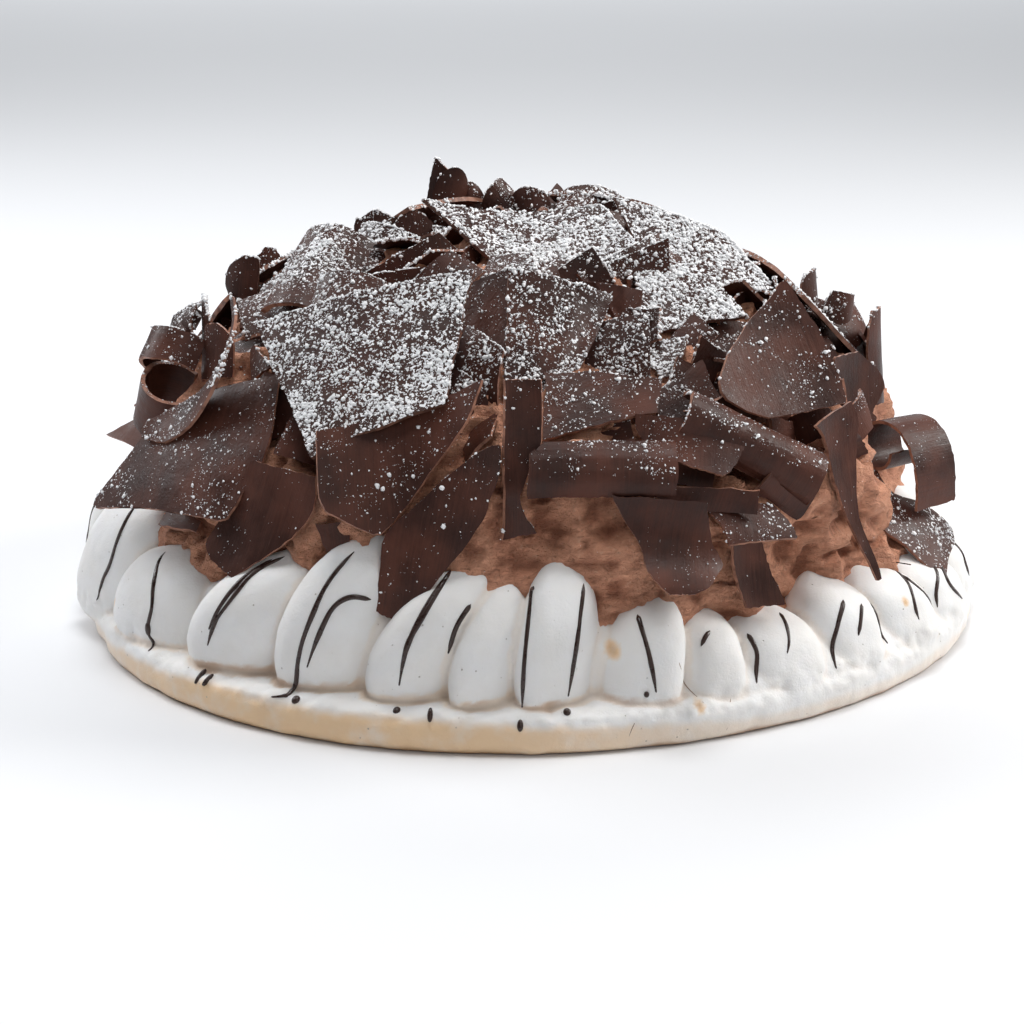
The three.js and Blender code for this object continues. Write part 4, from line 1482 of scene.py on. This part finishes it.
def fillers(mousse_tree, shard_tree):
    """Flakes on the mousse in the gaps between the shards, each lying as it cuts them least."""
    made = []
    for number in range(FILLER_TRIES):
        rise = 0.2 + 0.8 * (number + 0.5) / FILLER_TRIES
        flat = math.sqrt(1 - rise * rise)
        angle = math.radians(FILLER_GOLDEN * number)
        way = Vector((flat * math.sin(angle), -flat * math.cos(angle), rise))
        start = Vector((*AXIS, FILLER_AIM)) + OUTSIDE * way
        spot, normal, _, _ = mousse_tree.ray_cast(start, -way)
        lowest = LOWEST_FILLER + FRONT_BARE * max(0, -way.y) + 6 * uneven(number, 40)
        if spot is None or spot.z < lowest or kept_clear(np.array(spot)):
            continue
        points, faces, *others = filler_sheet(number)
        fewest = FILLER_CROSSED
        best = None
        for attempt in range(FILLER_LEANS):
            turns = turn_matrix(*filler_turns(number, attempt, normal))
            place = np.array(spot + normal * (0.8 + 1.2 * uneven(number, 50 + attempt)))
            placed = points @ turns.T + place
            own_tree = BVHTree.FromPolygons(placed.tolist(), faces.tolist())
            crossed = len(own_tree.overlap(shard_tree))
            if crossed < fewest:
                fewest = crossed
                best = placed
        if best is not None:
            made.append((best, faces, *others))
    return made


def build_small_chocolate(material, mousse_tree, shard_tree):
    """The flakes and curls as one piece."""
    made = placed_curls() + fillers(mousse_tree, shard_tree)
    points, faces = joined([part[:2] for part in made])
    values = {
        "rim": np.concatenate([part[2] for part in made]),
        "across": np.concatenate([part[3] for part in made]),
        "dust": sugar_by_height(points),
    }
    return chocolate_piece("chocolate_flakes", points, faces, values, material)


# ---- drizzle ----
# Each stroke's points as (degrees around, height), from where the spoon began.
FRONT_DRIZZLE = [
    [(-86, 40), (-85, 34), (-84.5, 22)],
    [(-67, 46), (-66.5, 40), (-67.5, 30), (-69.5, 21), (-70.5, 14)],
    [(-57, 37), (-54.5, 32), (-53, 24.5), (-53.5, 16.5), (-52.5, 11)],
    [(-34, 46), (-36.5, 42), (-38, 35), (-40, 27), (-41, 20)],
    [(-35.5, 45), (-37.5, 40.5), (-39.3, 33), (-40.8, 25)],
    [(-22.5, 52), (-24.5, 45), (-26, 35), (-27.3, 25), (-28.2, 13), (-28.8, 11.5), (-30, 11)],
    [(-19.5, 40), (-21.5, 41), (-23.5, 38), (-25, 30), (-26.5, 20)],
    [(-10, 48), (-11, 44), (-12.5, 37), (-14, 30), (-15, 18)],
    [(-10.3, 47), (-11.8, 42), (-13.2, 35), (-14.3, 28)],
    [(-7, 40.5), (-8.5, 35), (-9.5, 27)],
    [(0.6, 47), (0, 37), (-0.5, 25), (-0.7, 13)],
    [(7, 45), (6.2, 37), (5.5, 27), (4.7, 15.5)],
    [(13.8, 35.5), (13.9, 32), (14.4, 25), (14.9, 16)],
    [(23.2, 29), (22.4, 28), (21.6, 26)],
    [(28.8, 26), (29, 21), (28.2, 14)],
    [(35, 29), (34, 26), (32.7, 21)],
    [(44, 30), (42.2, 26), (40.7, 19), (40, 13)],
    [(46.4, 28), (45.2, 24.5), (44.3, 20.5)],
    [(50.2, 29), (49, 23), (50.6, 14)],
    [(60.5, 31.5), (58.6, 28), (61.8, 18), (61.5, 12)],
    [(58.8, 30), (56.7, 24.5), (56.6, 18)],
    [(67, 27), (64.5, 22), (64, 16.5)],
    [(68.5, 26.5), (67.3, 22), (70, 15)],
    [(75, 27), (74.5, 20), (75.5, 13)],
    [(81, 28), (80.5, 20), (81, 14)],
]
# Drops and dashes: degrees around, height, half-length and half-width.
DROPS = [
    (-53.4, 17, 2.2, 1.2),
    (-41.5, 10.5, 2.8, 0.8),
    (-39.9, 10.6, 2.4, 0.7),
    (-27, 11.3, 1.4, 1.3),
    (-15, 11.3, 1.3, 1.1),
    (-11, 11.2, 2.2, 0.8),
    (-0.9, 9, 1.8, 0.9),
    (4.4, 12, 1.2, 1.1),
    (13.8, 15.2, 0.9, 0.8),
]
STROKE_FROM = 190  # a radius outside the cake, from where strokes are laid on it
STROKE_STEP = 0.8  # between the rings of a stroke
STROKE_HALF = 0.72  # half a stroke's width
STROKE_RAISED = 0.52  # how far it stands out
STROKE_SIDES = 8
DROP_SIDES = 14
DROP_RINGS = ((-0.5, 0.9), (0.1, 1.0), (0.45, 0.85), (0.75, 0.5))  # height, and share of its size
ARC = 2.4  # millimetres for each degree around, at the lobes


def back_strokes():
    """Strokes for the lobes behind, one or two on each, in the same hand."""
    strokes = []
    for start, width, tall, lean, number in LOBES[len(FRONT_LOBES) :]:
        for k in range(2 if uneven(number, 100) > -0.2 else 1):
            at = start + width * (0.35 + 0.3 * k + 0.12 * uneven(number, 101 + k))
            top = SEAM_HEIGHT + tall * (0.85 + 0.1 * uneven(number, 103 + k))
            bottom = SEAM_HEIGHT + tall * (0.15 + 0.15 * uneven(number, 105 + k))
            sway = 2 * uneven(number, 107 + k)
            strokes.append([(at + lean, top), (at + 0.4 * lean + sway, (top + bottom) / 2), (at, bottom)])
    return strokes


def on_meringue(tree, degrees, height):
    """Where a level line from outside meets the meringue, with the surface's normal."""
    start = around(degrees, STROKE_FROM, height)
    way = around(degrees, 0, height) - start
    spot, normal, _, _ = tree.ray_cast(Vector(start), Vector(way))
    if spot is None:
        return around(degrees, SEAM_RADIUS, height), unit(-way)
    return np.array(spot), np.array(normal)


def stroke(tree, path, number, half=STROKE_HALF, raised=STROKE_RAISED):
    """One poured stroke: a low rounded ridge on the meringue, thin where it begins."""
    path = np.asarray(path, float)
    length = np.hypot(np.diff(path[:, 0]) * ARC, np.diff(path[:, 1])).sum()
    count = max(6, int(length / STROKE_STEP))
    found = [on_meringue(tree, *at) for at in smooth_rows(path, count)]
    spots, normals = (np.array(values) for values in zip(*found))
    for _ in range(4):
        spots[1:-1] = 0.5 * spots[1:-1] + 0.25 * (spots[2:] + spots[:-2])
        normals[1:-1] = unit(normals[1:-1] + normals[2:] + normals[:-2])
    along = unit(np.gradient(spots, axis=0))
    side = unit(np.cross(along, normals))
    t = np.linspace(0, 1, count)
    full = ramp(t, -0.05, 0.10) * (1 - 0.6 * ramp(t, 0.75, 1.0))
    full = full * (1 + 0.22 * noise(spots, 6, number))
    full = np.clip(full, 0.15, None)[:, None]
    rings = []
    for turn in full_turn(STROKE_SIDES):
        sideways = side * half * full * math.cos(turn)
        rings.append(spots + sideways + normals * (raised * math.sin(turn) * full))
    rings = np.stack(rings, 1)
    return closed_rings(rings, spots[0] - along[0] * 0.3, spots[-1] + along[-1] * 0.5)


def drop(tree, degrees, height, half_long, half_wide):
    """A fallen drop, rounded and lying on the meringue."""
    spot, normal = on_meringue(tree, degrees, height)
    side = unit(np.cross(normal, [0, 0, 1.0]))
    up = unit(np.cross(side, normal))
    rings = []
    turn = full_turn(DROP_SIDES)[:, None]
    for lift, share in DROP_RINGS:
        flat = share * (half_wide * np.cos(turn) * side - half_long * np.sin(turn) * up)
        rings.append(spot + flat + lift * normal)
    return closed_rings(rings, spot - 0.5 * normal, spot + 0.85 * normal)


def build_drizzle(material, tree):
    """Every stroke and drop of drizzle as one piece."""
    strokes = FRONT_DRIZZLE + back_strokes()
    parts = [stroke(tree, path, number) for number, path in enumerate(strokes)]
    parts += [drop(tree, *mark) for mark in DROPS]
    return piece("drizzle", mesh_of("drizzle", *joined(parts)), material)


# The cracks' points as (degrees around, height), and how wide and raised their lips are.
CRACKS = [
    [(17.2, 33), (17.6, 26), (18.3, 21), (18.9, 17), (19.4, 14.6), (20.6, 11.5)],
    [(24.3, 11), (23.6, 8.5), (23.9, 6), (23.2, 3)],
    [(12.7, 11), (11.9, 8), (11.4, 5)],
]
CRACK_HALF = 0.16
CRACK_RAISED = 0.05


def build_cracks(material, tree):
    """Fine cracks in the crust, as thin dark strips of painted shade."""
    parts = [
        stroke(tree, path, 300 + number, CRACK_HALF, CRACK_RAISED)
        for number, path in enumerate(CRACKS)
    ]
    return piece("crust_cracks", mesh_of("crust_cracks", *joined(parts)), material)


# ---- icing sugar ----
# The most pieces of each kind of sugar, their smallest and largest half-width, and how much more
# thickly they lie where there is much sugar.
CLUMPS = (9900, 0.35, 0.74, 2.9)
GRAINS = (24500, 0.20, 0.38, 2.0)
FLECKS = (44000, 0.11, 0.20, 1.0)
SUGAR_DRIFTS = [(1, 2.6, 200), (0.8, 8, 201)]  # layers of noise that gather it
MOSTLY_SMALL = 1.6  # above 1, small pieces are commoner than large ones
TRIED = 2.6  # how many places are tried for each piece
RIM_SUGAR = 1.3  # how much more dust an upward rim catches than the face beside it
SHADE_START = 0.8  # how far above the sugar the look upwards starts
SHADE_REACH = 40  # how far up a place is looked at for something that kept the sugar off


def icosahedron():
    """A regular solid of 20 triangles with corners at distance 1."""
    work = bmesh.new()
    bmesh.ops.create_icosphere(work, subdivisions=1, radius=1)
    return arrays_of(work)


def octahedron():
    """A regular solid of 8 triangles with corners at distance 1."""
    points = np.array([(1, 0, 0), (-1, 0, 0), (0, 1, 0), (0, -1, 0), (0, 0, 1), (0, 0, -1)], float)
    faces = [(0, 2, 4), (2, 1, 4), (1, 3, 4), (3, 0, 4), (2, 0, 5), (1, 2, 5), (3, 1, 5), (0, 3, 5)]
    return points, np.array(faces)


def tetrahedron():
    """A pyramid of 4 triangles that points up."""
    points = np.array([(1, 0, -0.4), (-0.5, 0.87, -0.4), (-0.5, -0.87, -0.4), (0, 0, 1)])
    return points, np.array([(0, 2, 1), (0, 1, 3), (1, 2, 3), (2, 0, 3)])


def sugar_places(surfaces, tree, count, crowding, chance):
    """Places where sugar settled: on what faces up, thick where the surface's dust says so."""
    corners = np.concatenate([points[faces] for points, faces, _ in surfaces])
    dust = np.concatenate([amount for _, _, amount in surfaces])
    facing = np.cross(corners[:, 1] - corners[:, 0], corners[:, 2] - corners[:, 0])
    area = np.linalg.norm(facing, axis=1) / 2
    facing = facing / np.maximum(2 * area, 1e-9)[:, None]
    weight = area * dust**crowding * ramp(facing[:, 2], 0.0, 0.4)
    picked = chance.choice(len(weight), int(count * TRIED), p=weight / weight.sum())
    a, b = chance.random((2, len(picked), 1))
    swap = a + b > 1
    a, b = np.where(swap, 1 - a, a), np.where(swap, 1 - b, b)
    three = corners[picked]
    spots = three[:, 0] + a * (three[:, 1] - three[:, 0]) + b * (three[:, 2] - three[:, 0])
    keep = chance.random(len(spots)) < np.clip(0.55 + 0.8 * layered(spots, *SUGAR_DRIFTS), 0.05, 1)
    kept = []
    for spot, normal in zip(spots[keep], facing[picked][keep]):
        start = Vector(spot + SHADE_START * normal)
        if len(kept) < count and tree.ray_cast(start, Vector((0, 0, 1)), SHADE_REACH)[0] is None:
            kept.append((spot, normal))
    return (np.array(values) for values in zip(*kept))


def grains(shape, spots, normals, sizes, chance):
    """Many small lumps of one shape, each pressed a little and turned its own way."""
    points, faces = shape
    stretched = points[None] * (1 + 0.6 * (chance.random((len(spots), len(points), 1)) - 0.5))
    stretched = stretched * (0.65 + 0.7 * chance.random((len(spots), 1, 3)))
    side = unit(np.cross(normals, chance.normal(size=normals.shape)))
    axes = np.stack([side, np.cross(normals, side), 0.7 * normals], 1)
    placed = np.einsum("nkj,nji->nki", stretched * sizes[:, None, None], axes)
    placed += (spots + 0.2 * sizes[:, None] * normals)[:, None]
    count = len(points)
    numbered = faces[None] + count * np.arange(len(spots))[:, None, None]
    return placed.reshape(-1, 3), numbered.reshape(-1, 3)


def build_sugar(material, pieces, tree):
    """Icing sugar in clumps, grains and the finest flecks."""
    chance = np.random.default_rng(12)
    surfaces = []
    for made in pieces:
        points, faces = faces_of(made)
        amount = np.empty(len(points), np.float32)
        made.data.attributes["dust"].data.foreach_get("value", amount)
        rim = np.zeros(len(faces), np.float32)
        if "rim" in made.data.attributes:
            made.data.attributes["rim"].data.foreach_get("value", rim)
        amount = amount[faces].mean(1) * (1 + RIM_SUGAR * rim)
        surfaces.append((points, faces, amount))
    kinds = (
        ("clumps", icosahedron(), CLUMPS),
        ("grains", octahedron(), GRAINS),
        ("flecks", tetrahedron(), FLECKS),
    )
    for name, shape, (count, smallest, largest, crowding) in kinds:
        spots, normals = sugar_places(surfaces, tree, count, crowding, chance)
        sizes = smallest + (largest - smallest) * chance.random(len(spots)) ** MOSTLY_SMALL
        mesh = mesh_of("icing_sugar_" + name, *grains(shape, spots, normals, sizes, chance))
        piece("icing_sugar_" + name, mesh, material)


# ---- scene ----
FLOOR_HALF = 40000
ROOM_COLOUR = (0.90, 0.94, 1.0, 1)
ROOM_LIGHT = 0.14
# Each light's place and target in metres, the length of its side, its power in watts, its colour.
MIDDLE = (0, 0, 0.06)
LIGHTS = {
    "window_left": ((-0.95, 0.45, 0.75), MIDDLE, 0.6, 7.5, (0.97, 0.98, 1.0)),
    "window_right": ((1.0, 0.15, 0.70), MIDDLE, 0.5, 10.5, (1.0, 0.985, 0.96)),
    "overhead": ((0.0, 0.0, 1.4), MIDDLE, 0.5, 9.5, (1.0, 1.0, 1.0)),
    "front_fill": ((0.45, -1.3, 0.9), MIDDLE, 0.8, 3.4, (1.0, 0.985, 0.965)),
    "back_ceiling": ((-0.5, 6.0, 3.2), (-0.5, 5.8, 0), 5.0, 260, (0.97, 0.985, 1.0)),
}
CAMERA_PLACE = (-6.2, -772, 257)
CAMERA_DOWN = 16.48  # degrees that the camera looks down
CAMERA_LENS = 85


def build_stage():
    """A plain pale floor."""
    corners = np.array([(-1, -1, 0), (1, -1, 0), (1, 1, 0), (-1, 1, 0)], float)
    mesh = mesh_of("floor", FLOOR_HALF * corners, [[0, 1, 2, 3]])
    floor = bpy.data.objects.new("floor", mesh)
    bpy.context.scene.collection.objects.link(floor)
    look = Look("pale_floor")
    colour = look.mix(look.lumps(400, 2), (0.78, 0.79, 0.81), (0.80, 0.81, 0.83))
    look.set(Base_Color=colour, Roughness=0.7)
    mesh.materials.append(look.material)


def add_light(name, place, target, size, power, colour):
    """A soft square light that faces a point."""
    light = bpy.data.lights.new(name, "AREA")
    light.shape = "SQUARE"
    light.size = size
    light.energy = power
    light.color = colour
    lamp = bpy.data.objects.new(name, light)
    bpy.context.scene.collection.objects.link(lamp)
    lamp.location = place
    lamp.rotation_euler = (Vector(target) - Vector(place)).to_track_quat("-Z", "Y").to_euler()


def light_scene():
    """Soft daylight from both sides and behind, and a pale room all round."""
    scene = bpy.context.scene
    world = bpy.data.worlds.new("pale_room")
    scene.world = world
    world.use_nodes = True
    background = world.node_tree.nodes["Background"]
    background.inputs["Color"].default_value = ROOM_COLOUR
    background.inputs["Strength"].default_value = ROOM_LIGHT
    scene.view_settings.view_transform = "Standard"
    for name, settings in LIGHTS.items():
        add_light(name, *settings)


def add_camera():
    """A long lens in front of the cake, looking a little down on it."""
    data = bpy.data.cameras.new("camera")
    data.lens = CAMERA_LENS
    data.sensor_width = 36
    data.clip_start = 0.05
    data.clip_end = 50
    camera = bpy.data.objects.new("camera", data)
    bpy.context.scene.collection.objects.link(camera)
    camera.location = np.array(CAMERA_PLACE) * MM
    camera.rotation_euler = Euler((math.radians(90 - CAMERA_DOWN), 0, 0))
    bpy.context.scene.camera = camera


add_camera()
light_scene()
build_stage()
chocolate = chocolate_look()
meringue = build_meringue(meringue_look())
shards = build_shards(chocolate) + build_petals(chocolate)
shard_tree = tree_of(shards)
mousse = build_mousse(mousse_look(), shard_tree)
flakes = build_small_chocolate(chocolate, tree_of([mousse]), shard_tree)
meringue_tree = tree_of([meringue])
build_drizzle(drizzle_look(), meringue_tree)
build_cracks(crack_look(), meringue_tree)
sugared = [*shards, flakes, mousse]
build_sugar(sugar_look(), sugared, tree_of(sugared))
